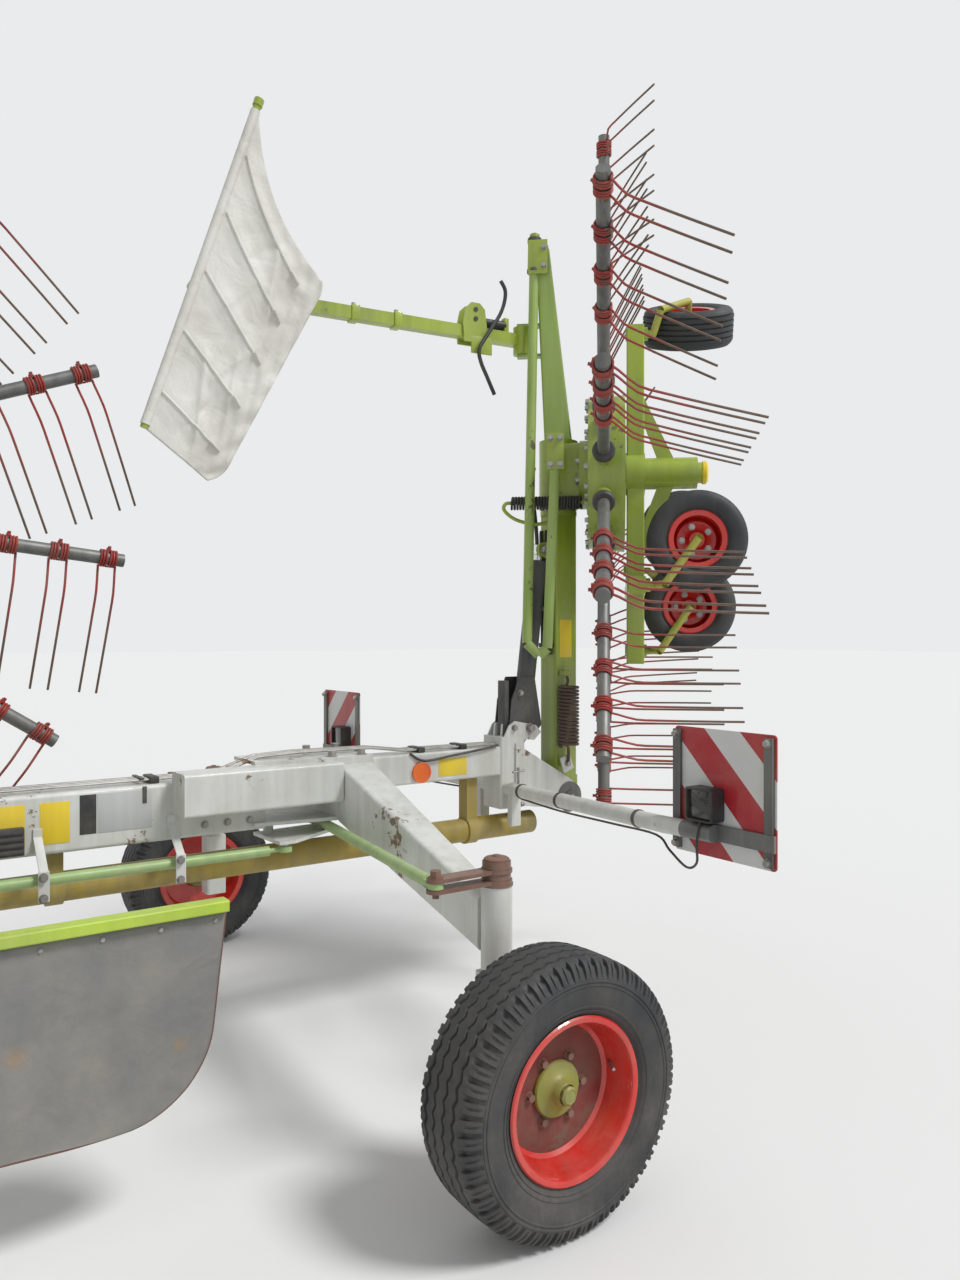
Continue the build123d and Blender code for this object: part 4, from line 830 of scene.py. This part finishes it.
def rearCanvas():
    c = rearCurtain
    corners = placed(c[k] for k in ("barBottom", "barTop", "freeTop", "freeBottom"))
    barLow, barTop, freeTop, freeLow = (Vector(p) for p in corners)
    out = Vector((0.2, 0.98, 0)).normalized()

    def clothPoint(level, v):
        # a place on the cloth: ridges over the rods, sags between them, crumples near the free edge
        u = level - c["hollow"] * level ** 5 * math.sin(math.pi * v ** 0.75)
        short = c["round"] * max(0.0, 1 - u / 0.11) ** 2.2 + 0.035 * max(0.0, (u - 0.95) / 0.05) ** 2
        ridge = (0.5 + 0.5 * math.cos(2 * math.pi * (level - 0.12) / 0.19)) ** 2
        held = math.sin(math.pi * min(v / 0.92, 1.0)) ** 0.6
        waves = math.sin(9.0 * level + 5.0 * v) * 0.35 + math.sin(21.0 * level - 9.0 * v + 1.3) * 0.22
        crumple = math.sin(37 * level + 17 * v) * math.sin(29 * v - 11 * level) + math.sin(53 * level - 31 * v) * 0.5
        creases = 0
        for foot, head, footV, headV, high, wide in c["creases"]:
            # a sharp fold that runs from one place on the cloth to another and fades at both ends
            t = (level - foot) / (head - foot)
            if 0 < t < 1:
                off = (v - (footV + (headV - footV) * t)) / wide
                creases += high * math.sin(math.pi * t) ** 0.7 / (1 + (off * 2.6) ** 2) * (
                    1 - 0.35 * off * math.exp(-off * off))
        bulge = 0.85 * ridge * held + waves * v + crumple * 0.42 * v ** 3 + creases * held
        return barLow.lerp(barTop, u).lerp(freeLow.lerp(freeTop, u), 0.03 + (0.97 - short) * v) + out * c["billow"] * bulge

    bm = bmesh.new()
    places = [[clothPoint(i / c["rows"], j / c["columns"]) for j in range(c["columns"] + 1)] for i in range(c["rows"] + 1)]
    gridFaces(bm, [[bm.verts.new(p) for p in row] for row in places])
    piece = finishPiece("rearCurtainCanvas", bm, ("whiteCanvas",), "rear_curtain", "rear_curtain")
    area = thicken(piece, c["thick"])
    # sewn pockets of the five rods with their end tabs, and the bar's sleeve
    bm = bmesh.new()
    for k in range(5):
        level = 0.12 + 0.19 * k
        tubeAlong(bm, [clothPoint(level, 0.03 + 0.0365 * n) + out * 0.002 for n in range(21)], 0.0056, 8)
        one, two = clothPoint(level, 0.73), clothPoint(level, 0.80)
        block(bm, lookAlong(one.lerp(two, 0.5) + out * 0.003, two), (0.024, 0.012, 0.050), 0.004)
    tubeAlong(bm, [barLow.lerp(barTop, t) for t in (0.01, 0.5, 0.985)], 0.0185, 12)
    finishPiece("rearCurtainPockets", bm, ("whiteCanvas",), "rear_curtain")


frontCurtain = {
    "rear": 0.670, "length": 2.100, "top": 0.8547, "bottom": 0.350, "y": 0.850, "rows": 44, "columns": 240, "corner": 0.210,
    "rodFirst": 0.795, "rodPitch": 0.268, "rodHalf": 0.026, "rodPress": 0.0028, "rodFoot": 0.86, "hem": 0.0024,
}


def frontCanvas():
    c = frontCurtain
    bm = bmesh.new()
    grid = []
    for i in range(c["rows"] + 1):
        v = 1 - (1 - i / c["rows"]) ** 1.5
        z = c["top"] + (c["bottom"] - c["top"]) * v
        drop = min(max(0.0, (c["bottom"] + c["corner"] - z) / c["corner"]), 1.0)
        left = c["rear"] + 0.060 * v + c["corner"] * (1 - math.sqrt(1 - drop * drop))
        row = []
        for j in range(c["columns"] + 1):
            u = j / c["columns"]
            x = axleX + left + (c["rear"] + c["length"] - left) * u
            wave = math.sin(u * 31.0) * 0.0045 * v + math.sin(u * 13.0 + 1.0) * 0.004 * v * v
            # the flat rods behind press their outline through
            along = (x - axleX - c["rodFirst"] + c["rodPitch"] / 2) % c["rodPitch"] - c["rodPitch"] / 2
            press = 1 / (1 + math.exp((abs(along) - c["rodHalf"]) / 0.0035)) / (1 + math.exp((v - c["rodFoot"]) / 0.012))
            row.append(bm.verts.new((x, c["y"] + wave + c["rodPress"] * press, z)))
        grid.append(row)
    gridFaces(bm, grid)
    edge = [row[0].co.copy() for row in grid] + [vert.co.copy() for vert in grid[-1][1:]]
    piece = finishPiece("frontCurtainCanvas", bm, ("greyCanvas",), "front_curtain", "front_curtain")
    area = thicken(piece, rearCurtain["thick"])
    # brown hem round the free edge and the bolts under the bar
    bm = bmesh.new()
    tubeAlong(bm, edge, c["hem"], 6)
    boltAt(bm, placed((0.70 + 0.14 * k, c["y"] + 0.0017, 0.833) for k in range(15)), (0, 1, 0), 1, rivet)
    finishPiece("frontCurtainHem", bm, ("hemBrown", "bareSteel"), "front_curtain")


rearCanvas()
frontCanvas()
print("curtains made")

# finishes of the CAD nodes
nodeFinish = {
    "main_beam": "beamPaint", "axle_legs": "beamPaint", "lamp_arms": "lampArmPaint", "front_curtain_bracket": "beamPaint",
    "headstock": "beamPaint", "knuckle_left": "knucklePaint", "knuckle_right": "knucklePaint", "centre_lever": "beamPaint",
    "drive_line": "oliveGuard", "input_shaft": "bareSteel", "parking_jack": "bareSteel", "steering_rod": "rodPaint",
    "tie_rod_left": "rodPaint", "tie_rod_right": "rodPaint", "warning_boards": "markerBoard", "tail_lamps": "blackPlastic",
    "reflectors": "orangeGlass", "rear_curtain_arm": "limePaint", "front_curtain_arm": "limeBright",
}
for name in rotors:
    nodeFinish.update(
        {
            f"{name}_lift_arm": "limePaint", f"{name}_lift_barrel": "darkSteel", f"{name}_lift_rod": "chromeRod",
            f"{name}_head": "limePaint", f"{name}_mast": "limeFaded", f"{name}_undercarriage": "limePaint",
            f"{name}_castors": "hubPaint", f"{name}_drum": "limePaint", f"{name}_tine_arms": "galvSteel",
        })
for name, finishName in nodeFinish.items():
    mesh = nodes[name].data
    mesh.materials.clear()
    mesh.materials.append(finishes[finishName])

# fittings
# bolts, plates and blank stickers of the frame
bm = bmesh.new()
boltAt(bm, placed((x, y, 1.132) for y in (-0.11, 0.11) for x in (-0.12, 0.0)), (0, 0, 1), copy=bigBolt)
boltAt(bm, placed((x, s * 0.0751, z) for s in (-1, 1) for x in (0.30, 0.38, 0.46) for z in (0.93, 1.04)), (0, 1, 0))
boltAt(bm, placed([(-1.160, 0.0752, 0.870), (-0.95, 0.033, 1.180)]), (0, 1, 0), copy=bigBolt)
boltAt(bm, placed([(4.86, 0.055, 0.9), (4.86, -0.055, 0.9)]), (0, 0, 1))
finishPiece("frameBolts", bm, ("bareSteel",), "frame", smooth=False)

plates = (
    # x, z, width, height, finish index, on which face y
    (1.075, 0.988, 0.110, 0.130, 0, 0.0755), (0.934, 0.988, 0.086, 0.130, 0, 0.0755),
    (0.836, 1.004, 0.050, 0.125, 2, 0.0755), (0.722, 1.004, 0.170, 0.125, 1, 0.0755),
    (-0.56, 1.045, 0.135, 0.070, 0, 0.0605), (2.70, 0.985, 0.20, 0.12, 1, 0.0755), (3.6, 0.985, 0.16, 0.12, 0, 0.0755),
)
bm = bmesh.new()
for x, z, width, tall, index, y in plates:
    for side in (-1, 1):
        block(bm, at(x, side * (y + 0.0002), z), (width, 0.0014, tall), 0.0004, index)
finishPiece("blankPlates", bm, ("yellowPlate", "greyPlate", "blackPlastic"), "frame")

# ribbed black guard on the beam's side and straps round the beam
bm = bmesh.new()
block(bm, at(1.12, 0.090, 0.945), (0.19, 0.026, 0.085), 0.003)
for k in range(4):
    block(bm, at(1.12, 0.1045, 0.916 + 0.0195 * k), (0.184, 0.007, 0.010), 0.001)
for x in (0.66, 0.31, 1.75, 2.45):
    block(bm, at(x, 0, 1.0985), (0.014, 0.10, 0.006), 0.001)
    for side in (-1, 1):
        block(bm, at(x, side * 0.0768, 1.05), (0.014, 0.002, 0.055), 0.0005)
finishPiece("beamGuards", bm, ("blackPlastic",), "frame")

# hangers beside the steering rod: a bent strip from the beam's side and a plate with two bolts
hanger = {
    # x of each hanger and y of the rod there
    "places": ((0.985, 0.1405), (0.575, 0.1475), (2.2, 0.1205), (3.5, 0.0995)),
    "beamY": 0.0785, "gap": 0.036, "width": 0.026, "thick": 0.006, "footZ": 0.861, "topZ": 0.950, "boltZ": (0.846, 0.783),
}
width, thick = hanger["width"], hanger["thick"]
bm = bmesh.new()
for x, rodY in hanger["places"]:
    foot = Vector((axleX + x, rodY + hanger["gap"], hanger["footZ"]))
    top = Vector((axleX + x, hanger["beamY"], hanger["topZ"]))
    block(bm, mat4(foot.lerp(top, 0.5), (1, 0, 0), top - foot), (width, thick, (top - foot).length + thick), 0.001)
    block(bm, at(x, hanger["beamY"], 0.962), (width, thick, 0.028), 0.001)
    block(bm, at(x, rodY + hanger["gap"], 0.818), (0.032, thick, 0.092), 0.001)
    boltAt(bm, placed((x + 0.002, rodY + 0.0393, z) for z in hanger["boltZ"]), (0, 1, 0), 1)
finishPiece("rodHangers", bm, ("beamPaint", "bareSteel"), "frame", smooth=False)

# tower over the post: ears, dark plates, hose bar; discs at the rear pivot; pin and socket of each lamp tube
ear = [(-0.815, 1.145), (-0.842, 1.196), (-0.872, 1.213), (-0.985, 1.190), (-1.012, 1.160), (-0.975, 1.128)]
tower = [(-0.845, 1.150), (-0.862, 1.300), (-0.905, 1.395), (-0.985, 1.395), (-1.022, 1.190), (-0.985, 1.150)]
pivotDisc = [(1e-5, 0), (0.066, 0), (0.066, 0.004), (0.060, 0.006), (0.030, 0.006), (0.028, 0.012), (1e-5, 0.012)]
bm = bmesh.new()
upright = Matrix(((1, 0, 0, axleX), (0, 0, 1, 0), (0, 1, 0, 0), (0, 0, 0, 1)))
for side in (-1, 1):
    prism(bm, ear, upright @ shift(0, 0, 0.0555 if side > 0 else -0.0625), 0.007, 0)
    prism(bm, tower, upright @ shift(0, 0, 0.0465 if side > 0 else -0.0525), 0.006, 1)
    boltAt(bm, placed([(-0.868, 0.0625, 1.185), (-0.906, 0.0525, 1.330)], side), (0, side, 0), 2)
    boltAt(bm, placed([(-0.950, 0.0625, 1.180)], side), (0, side, 0), 2, bigBolt)
    lathe(bm, pivotDisc, 48, mat4((axleX - 1.160, side * 0.0741, 0.870), (1, 0, 0), (0, side, 0)), 3)
    block(bm, at(-0.830, side * 0.112, 0.862), (0.048, 0.030, 0.150), 0.003, 0)
    tubeAlong(bm, placed([(-0.830, 0.140, 0.955), (-0.830, 0.140, 1.030)], side), 0.006, 8, 2)
    tubeAlong(bm, placed([(-0.802, 0.140, 1.012), (-0.862, 0.140, 1.016)], side), 0.005, 8, 2)
for side in (-1, 1):
    for y in (1.105, 1.467):
        block(bm, at(-0.7428, side * y, 1.080), (0.0114, 0.0314, 0.3812), 0.0008, 3)
        boltAt(bm, placed([(-0.7372, y, z) for z in (0.905, 1.255)], side), (1, 0, 0), 2)
block(bm, at(-0.842, 0.020, 1.265), (0.022, 0.050, 0.235), 0.002, 1)
finishPiece("postFittings", bm, ("beamPaint", "darkSteel", "bareSteel", "galvSteel"), "frame")

# pipes along the beams with their clips
pipeLine = (
    (4.75, 1.093), (2.2, 1.093), (0.4, 1.093), (0.25, 1.140), (0.1, 1.146), (-0.2, 1.142), (-0.35, 1.122), (-0.78, 1.120),
)
bm = bmesh.new()
for y, radius in ((-0.02, 0.006), (0.012, 0.006), (0.036, 0.0045)):
    tubeAlong(bm, placed((x, y, z) for x, z in pipeLine), radius, 8)
for x in (4.4, 3.6, 2.8, 1.3, 0.62):
    block(bm, at(x, 0.008, 1.092), (0.03, 0.09, 0.022), 0.003, 1)
for x in (-0.42, -0.62):
    block(bm, at(x, 0.008, 1.121), (0.03, 0.09, 0.020), 0.003, 1)
finishPiece("beamPipes", bm, ("bareSteel", "blackPlastic"), "frame")

# cable over the beam, and the cable and straps of each lamp tube
sagLine = [
    (-0.36, 0.062, 1.112), (-0.42, 0.070, 1.080), (-0.55, 0.072, 1.092), (-0.70, 0.070, 1.108), (-0.78, 0.066, 1.118),
]
lampLine = [
    (-0.826, 0.165, 0.905), (-0.790, 0.46, 0.902), (-0.750, 0.80, 0.912), (-0.722, 1.03, 0.917), (-0.712, 1.10, 0.880),
    (-0.704, 1.18, 0.842), (-0.690, 1.235, 0.868), (-0.684, 1.240, 0.930), (-0.700, 1.240, 1.000),
]
strap = [(0.0275, -0.007), (0.0305, -0.007), (0.0312, 0), (0.0305, 0.007), (0.0275, 0.007)]
bm = bmesh.new()
tubeAlong(bm, smoothPath(placed(sagLine), 5), 0.005, 8)
for side in (-1, 1):
    elbow, knee = (Vector(p) for p in placed([(-0.830, 0.140, 0.935), (-0.720, 1.065, 0.957)], side))
    for t in (0.035, 0.34, 0.86):
        lathe(bm, strap, 32, lookAlong(elbow.lerp(knee, t), knee))
    tubeAlong(bm, smoothPath(placed(lampLine, side), 5), 0.004, 8)
finishPiece("lampCables", bm, ("blackPlastic",), "frame")

# kingpin caps and clevis bolts of each knuckle
kingpinCap = [(0, 0), (0.036, 0), (0.036, 0.006), (0.030, 0.010), (0.012, 0.011), (0.010, 0.016), (0, 0.017)]
for sign, label in ((1, "left"), (-1, "right")):
    bm = bmesh.new()
    lathe(bm, kingpinCap, 28, mat4((axleX, sign * 1.130, 0.948), (1, 0, 0), (0, 0, 1)))
    boltAt(bm, placed([(0.200, 1.130, 0.927)], sign), (0, 0, 1), copy=bigBolt)
    boltAt(bm, placed([(0.200, 1.130, 0.888)], sign), (0, 0, -1))
    finishPiece(f"kingpinFittings{label.capitalize()}", bm, ("rustSteel",), f"knuckle_{label}")

# fittings of each lift arm, in the arm's own frame
armSizes = {
    "coil": {"Turns": 17.0, "Radius": 0.0400, "Length": 0.26, "Wire": 0.0072, "Steps": 20},
    "lowHook": ((0.030, 0.104, 0.150), (0.030, 0.104, 0.205), (0.045, 0.118, 0.228), (0.062, 0.128, 0.232)),
    "highHook": ((0.062, 0.128, 0.482), (0.045, 0.112, 0.492), (0.030, 0.100, 0.510), (0.030, 0.085, 0.540)),
    "hoses": (-0.03, -0.002, 0.026),
}


def armFittings(name, arm, eyeZ):
    # cylinder bolt, spring with its hooks and bracket, plate and hoses
    bm = bmesh.new()
    boltAt(bm, [(0.110, 0.034, eyeZ)], (0, 1, 0), copy=bigBolt, base=arm)
    joinInto(bm, growMesh("spring", "springRust", **armSizes["coil"]), arm @ shift(0.030, 0.1040, 0.225), 1)
    for hook in ("lowHook", "highHook"):
        tubeAlong(bm, smoothPath(moved(arm, armSizes[hook]), 4), 0.0065, 8, 1)
    block(bm, arm @ shift(0.030, 0.076, 0.540), (0.034, 0.042, 0.026), 0.004, 2)
    block(bm, arm @ shift(0.030, 0.092, 0.150) @ Matrix.Rotation(0.35, 4, "Y"), (0.056, 0.008, 0.070), 0.002, 4)
    block(bm, arm @ shift(0.030, 0.071, 0.150), (0.030, 0.036, 0.030), 0.003, 2)
    boltAt(bm, [(0.030, 0.096, 0.150)], (0, 1, 0), base=arm)
    block(bm, arm @ shift(0.005, 0.0555, 0.690), (0.066, 0.0012, 0.165), 0.0004, 5)
    for y in armSizes["hoses"]:
        line = (
            (0.066, y, 0.62), (0.068, y, 0.80), (0.069, y, eyeZ - 0.06), (0.068, y * 1.3, eyeZ + 0.065),
            (0.066, y * 1.2, eyeZ + 0.09),
        )
        tubeAlong(bm, smoothPath(moved(arm, line), 5), 0.0075, 8, 3)
    for z in (0.66, 0.82):
        block(bm, arm @ shift(0.068, -0.002, z), (0.020, 0.085, 0.02), 0.003, 3)
    materials = ("bareSteel", "springRust", "limePaint", "blackPlastic", "beamPaint", "yellowPlate")
    finishPiece(f"{name}ArmFittings", bm, materials, f"{name}_lift_arm")


drumSizes = {
    "collar": [(0.0212, 0.396), (0.044, 0.396), (0.046, 0.402), (0.046, 0.424), (0.040, 0.432), (0.0212, 0.434)],
    "collarRing": 0.004, "face": 0.0652,
    # count, radius and turn of each bolt ring
    "boltRings": ((12, 0.245, 0.0), (26, 0.318, 0.06)),
}


def drumFittings(name, rotor):
    # black collar of each tine arm and the bolts of the drum's face
    s = drumSizes
    collar = bmesh.new()
    lathe(collar, s["collar"], 24, Matrix.Rotation(math.pi / 2, 4, "Y"))
    copy = pattern(f"{name}CollarPattern", collar, "blackPlastic")
    base = rotor["rotor"]
    bm = bmesh.new()
    turn = math.radians(rotor["first"])
    joinInto(bm, growMesh("ring", "blackPlastic", Count=armCount, Radius=s["collarRing"], Turn=turn, Copy=copy), base, 0)
    for count, radius, turn in s["boltRings"]:
        boltRing(bm, count, radius, base @ shift(0, 0, s["face"]), turn, 1)
    finishPiece(f"{name}DrumFittings", bm, ("blackPlastic", "bareSteel"), rotor["spin"])


headSizes = {
    "coil": {"Turns": 24.0, "Radius": 0.0245, "Length": 0.30, "Wire": 0.0058, "Steps": 18},
    "hook": (
        (0.137, 0.128, 0.385), (0.137, 0.128, 0.420), (0.165, 0.128, 0.428), (0.205, 0.120, 0.380), (0.225, 0.105, 0.300),
        (0.215, 0.090, 0.235)),
    "stub": ((0.137, 0.128, 0.105), (0.137, 0.128, 0.070), (0.120, 0.105, 0.062)),
    "hose": ((-0.02, 0.100, 0.300), (0.06, 0.115, 0.315), (0.16, 0.100, 0.300), (0.28, 0.085, 0.290), (0.42, 0.080, 0.285)),
    "sleeve": [(0.0212, 0), (0.0290, 0), (0.0290, 0.120), (0.0212, 0.120)],
    "tubeCap": [(0, -0.044), (0.014, -0.044), (0.022, -0.038), (0.024, -0.026), (0.024, -0.010), (0, -0.010)],
    "hubCap": [(0.0, -0.420), (0.045, -0.420), (0.050, -0.424), (0.050, -0.438), (0.040, -0.446), (0.0, -0.448)],
}


def mastTube(head, x):
    # a point of the mast's long tube at a height of the head's frame
    t = (x + 1.040) / 1.780
    return head @ Vector((x, 0.010 + 0.225 * t, 0.305 + 0.015 * t))


def headFittings(name, head, body):
    # gearbox bolts, spring with hooks, sleeve and cap of the mast's tube, plates, hose and hub cap
    s = headSizes
    bm = bmesh.new()
    boltRing(bm, 10, 0.132, head @ shift(0, 0, 0.106))
    boltRing(bm, 8, 0.068, head @ mat4((0.1525, 0, 0.2), (0, 1, 0), (1, 0, 0)) @ shift(0, 0, -0.004))
    joinInto(bm, growMesh("spring", "blackPlastic", **s["coil"]), head @ shift(0.137, 0.128, 0.095), 3)
    tubeAlong(bm, smoothPath(moved(head, s["hook"]), 5), 0.008, 8, 4)
    tubeAlong(bm, moved(head, s["stub"]), 0.008, 8, 4)
    along = lookAlong(mastTube(head, -1.030), mastTube(head, -0.860))
    lathe(bm, s["sleeve"], 32, along, 4)
    for start, end in ((-0.018, -0.002), (0.126, 0.138)):
        lathe(
            bm, [(0.0205, start), (0.0310, start), (0.0315, (start + end) / 2), (0.0310, end), (0.0205, end)], 32, along, 1)
    lathe(bm, s["tubeCap"], 32, along, 4)
    for side in (-1, 1):
        block(bm, head @ shift(-0.955, 0.018 + side * 0.0335, 0.288), (0.150, 0.007, 0.085), 0.002, 4)
    boltAt(bm, [(x, 0.0555, 0.262) for x in (-0.995, -0.915)], (0, 1, 0), base=head)
    block(bm, head @ shift(-0.060, 0.2585, 0.200), (0.150, 0.006, 0.070), 0.002, 4)
    boltAt(bm, [(x, 0.2618, z) for x in (-0.115, -0.005) for z in (0.180, 0.220)], (0, 1, 0), base=head)
    tubeAlong(bm, smoothPath(moved(head, s["hose"]), 5), 0.0085, 8, 3)
    lathe(bm, s["hubCap"], 28, head, 2)
    finishPiece(
        f"{name}HeadFittings", bm, ("bareSteel", "darkSteel", "yellowPlate", "blackPlastic", "limePaint"), body)


for name, rotor in rotors.items():
    armFittings(name, rotor["arm"], rotor["eye"])
    drumFittings(name, rotor)
    headFittings(name, rotor["head"], rotor["body"])

# clamps, lug, strut and latch lever on the curtain arm, and the lime tip of its bar
armStart = Vector((axleX - 1.0387, -0.1115, 2.880))
armEnd = Vector((axleX + 0.386, -0.290, 2.880))
lug = [
    (-0.055, -0.045), (0.055, -0.045), (0.060, 0.030), (0.045, 0.100), (0.020, 0.124), (-0.020, 0.124), (-0.045, 0.100),
    (-0.055, 0.020),
]
lever = [
    (-0.905, 3.115), (-0.929, 3.080), (-0.926, 3.030), (-0.900, 2.965), (-0.838, 2.873), (-0.792, 2.800), (-0.800, 2.746),
    (-0.830, 2.690), (-0.872, 2.615),
]
bm = bmesh.new()
for t in (0.18, 0.42, 0.55, 0.86):
    clamp = lookAlong(armStart.lerp(armEnd, t), armEnd)
    block(bm, clamp, (0.062, 0.062, 0.035), 0.003, 0)
    boltAt(bm, [(0, 0.031, 0)], (0, 1, 0), 1, base=clamp)
along = (armEnd - armStart).normalized()
lugFrame = mat4(armStart.lerp(armEnd, 0.172), along, Vector((along.y, -along.x, 0)))
for offset in (-0.0345, 0.0265):
    prism(bm, lug, lugFrame @ shift(0, 0, offset), 0.008, 0)
for y in (0.055, 0.095):
    tubeAlong(bm, moved(lugFrame, ((0, y, -0.038), (0, y, 0.038))), 0.010, 12, 2)
tubeAlong(bm, moved(lugFrame, ((-0.012, 0.055, 0), (-0.160, 0.056, 0))), 0.0205, 20, 2)
block(bm, lugFrame @ shift(-0.163, 0.050, 0), (0.022, 0.078, 0.034), 0.003, 0)
block(bm, lugFrame @ shift(-0.030, -0.055, -0.030), (0.100, 0.075, 0.010), 0.003, 0)
tubeAlong(bm, smoothPath(placed((x, -0.085, z) for x, z in lever), 4), 0.0085, 8, 2)
barLow, barTip = (Vector(p) for p in placed((rearCurtain["barBottom"], rearCurtain["barTop"])))
tubeAlong(bm, [barTip, barTip + (barTip - barLow).normalized() * 0.028], 0.019, 12, 0)
finishPiece("curtainClamps", bm, ("limePaint", "bareSteel", "blackPlastic"), "rear_curtain")

# lamp lenses and reflector rims
bm = bmesh.new()
for side in (-1, 1):
    block(bm, at(-0.7005, side * 1.240, 1.0475), (0.004, 0.094, 0.089), 0.0015)
finishPiece("lampLenses", bm, ("smokeLens",), "frame")
bm = bmesh.new()
for side in (-1, 1):
    face = mat4((axleX - 0.410, side * 0.0693, 1.035), (1, 0, 0), (0, side, 0))
    lathe(bm, [(0.034, 0), (0.041, 0), (0.041, 0.002), (0.036, 0.0025)], 32, face)
finishPiece("reflectorRims", bm, ("orangeGlass",), "frame")
print("fittings made")

# stage
floorHalf = 90
floorMesh = bpy.data.meshes.new("paleFloor")
floorMesh.from_pydata(
    [(x * floorHalf, y * floorHalf, 0) for x, y in ((-1, -1), (1, -1), (1, 1), (-1, 1))], [], [(0, 1, 2, 3)])
floorMaterial, tree, shader = newMaterial("paleFloor")
feed(tree, shader, {"Base Color": (0.78, 0.78, 0.77, 1), "Roughness": 0.9})
placeMesh("paleFloor", floorMesh, floorMaterial)

# pale light on the object, and a near white backdrop for the camera, for metal and for glass
world = bpy.data.worlds.new("studio")
bpy.context.scene.world = world
world.use_nodes = True
tree = world.node_tree
back = feed(tree, tree.nodes["Background"], {"Color": (0.96, 0.98, 1.0, 1), "Strength": 0.52})
seen = addNode(tree, "ShaderNodeBackground", {"Color": (0.82, 0.83, 0.84, 1), "Strength": 1.0})
path = addNode(tree, "ShaderNodeLightPath").outputs
direct = maths(tree, "MAXIMUM", path["Is Camera Ray"], path["Is Glossy Ray"])
shown = maths(tree, "MAXIMUM", direct, path["Is Transmission Ray"])
pick = addNode(tree, "ShaderNodeMixShader", {0: shown, 1: back.outputs[0], 2: seen.outputs[0]})
feed(tree, tree.nodes["World Output"], {"Surface": pick.outputs[0]})

sun = {"from": (-0.35, 0.55, 0.80), "strength": 2.3, "angle": 16.0}
data = bpy.data.lights.new("softSun", "SUN")
data.energy = sun["strength"]
data.angle = math.radians(sun["angle"])
lamp = bpy.data.objects.new("softSun", data)
bpy.context.scene.collection.objects.link(lamp)
lamp.location = Vector(sun["from"]) * 12
lamp.rotation_euler = (-Vector(sun["from"])).to_track_quat("-Z", "Y").to_euler()

view = {"place": (1.57, 3.29, 1.505), "forward": (-0.574, -0.819, 0.0), "lens": 27.06}
cameraData = bpy.data.cameras.new("photoView")
cameraData.lens = view["lens"]
cameraData.sensor_width = 36
cameraData.shift_y = -0.003
camera = bpy.data.objects.new("photoView", cameraData)
bpy.context.scene.collection.objects.link(camera)
camera.location = (axleX + view["place"][0], view["place"][1], view["place"][2])
camera.rotation_euler = Vector(view["forward"]).to_track_quat("-Z", "Y").to_euler()
bpy.context.scene.camera = camera
bpy.context.scene.view_settings.view_transform = "Standard"

print("stage set")
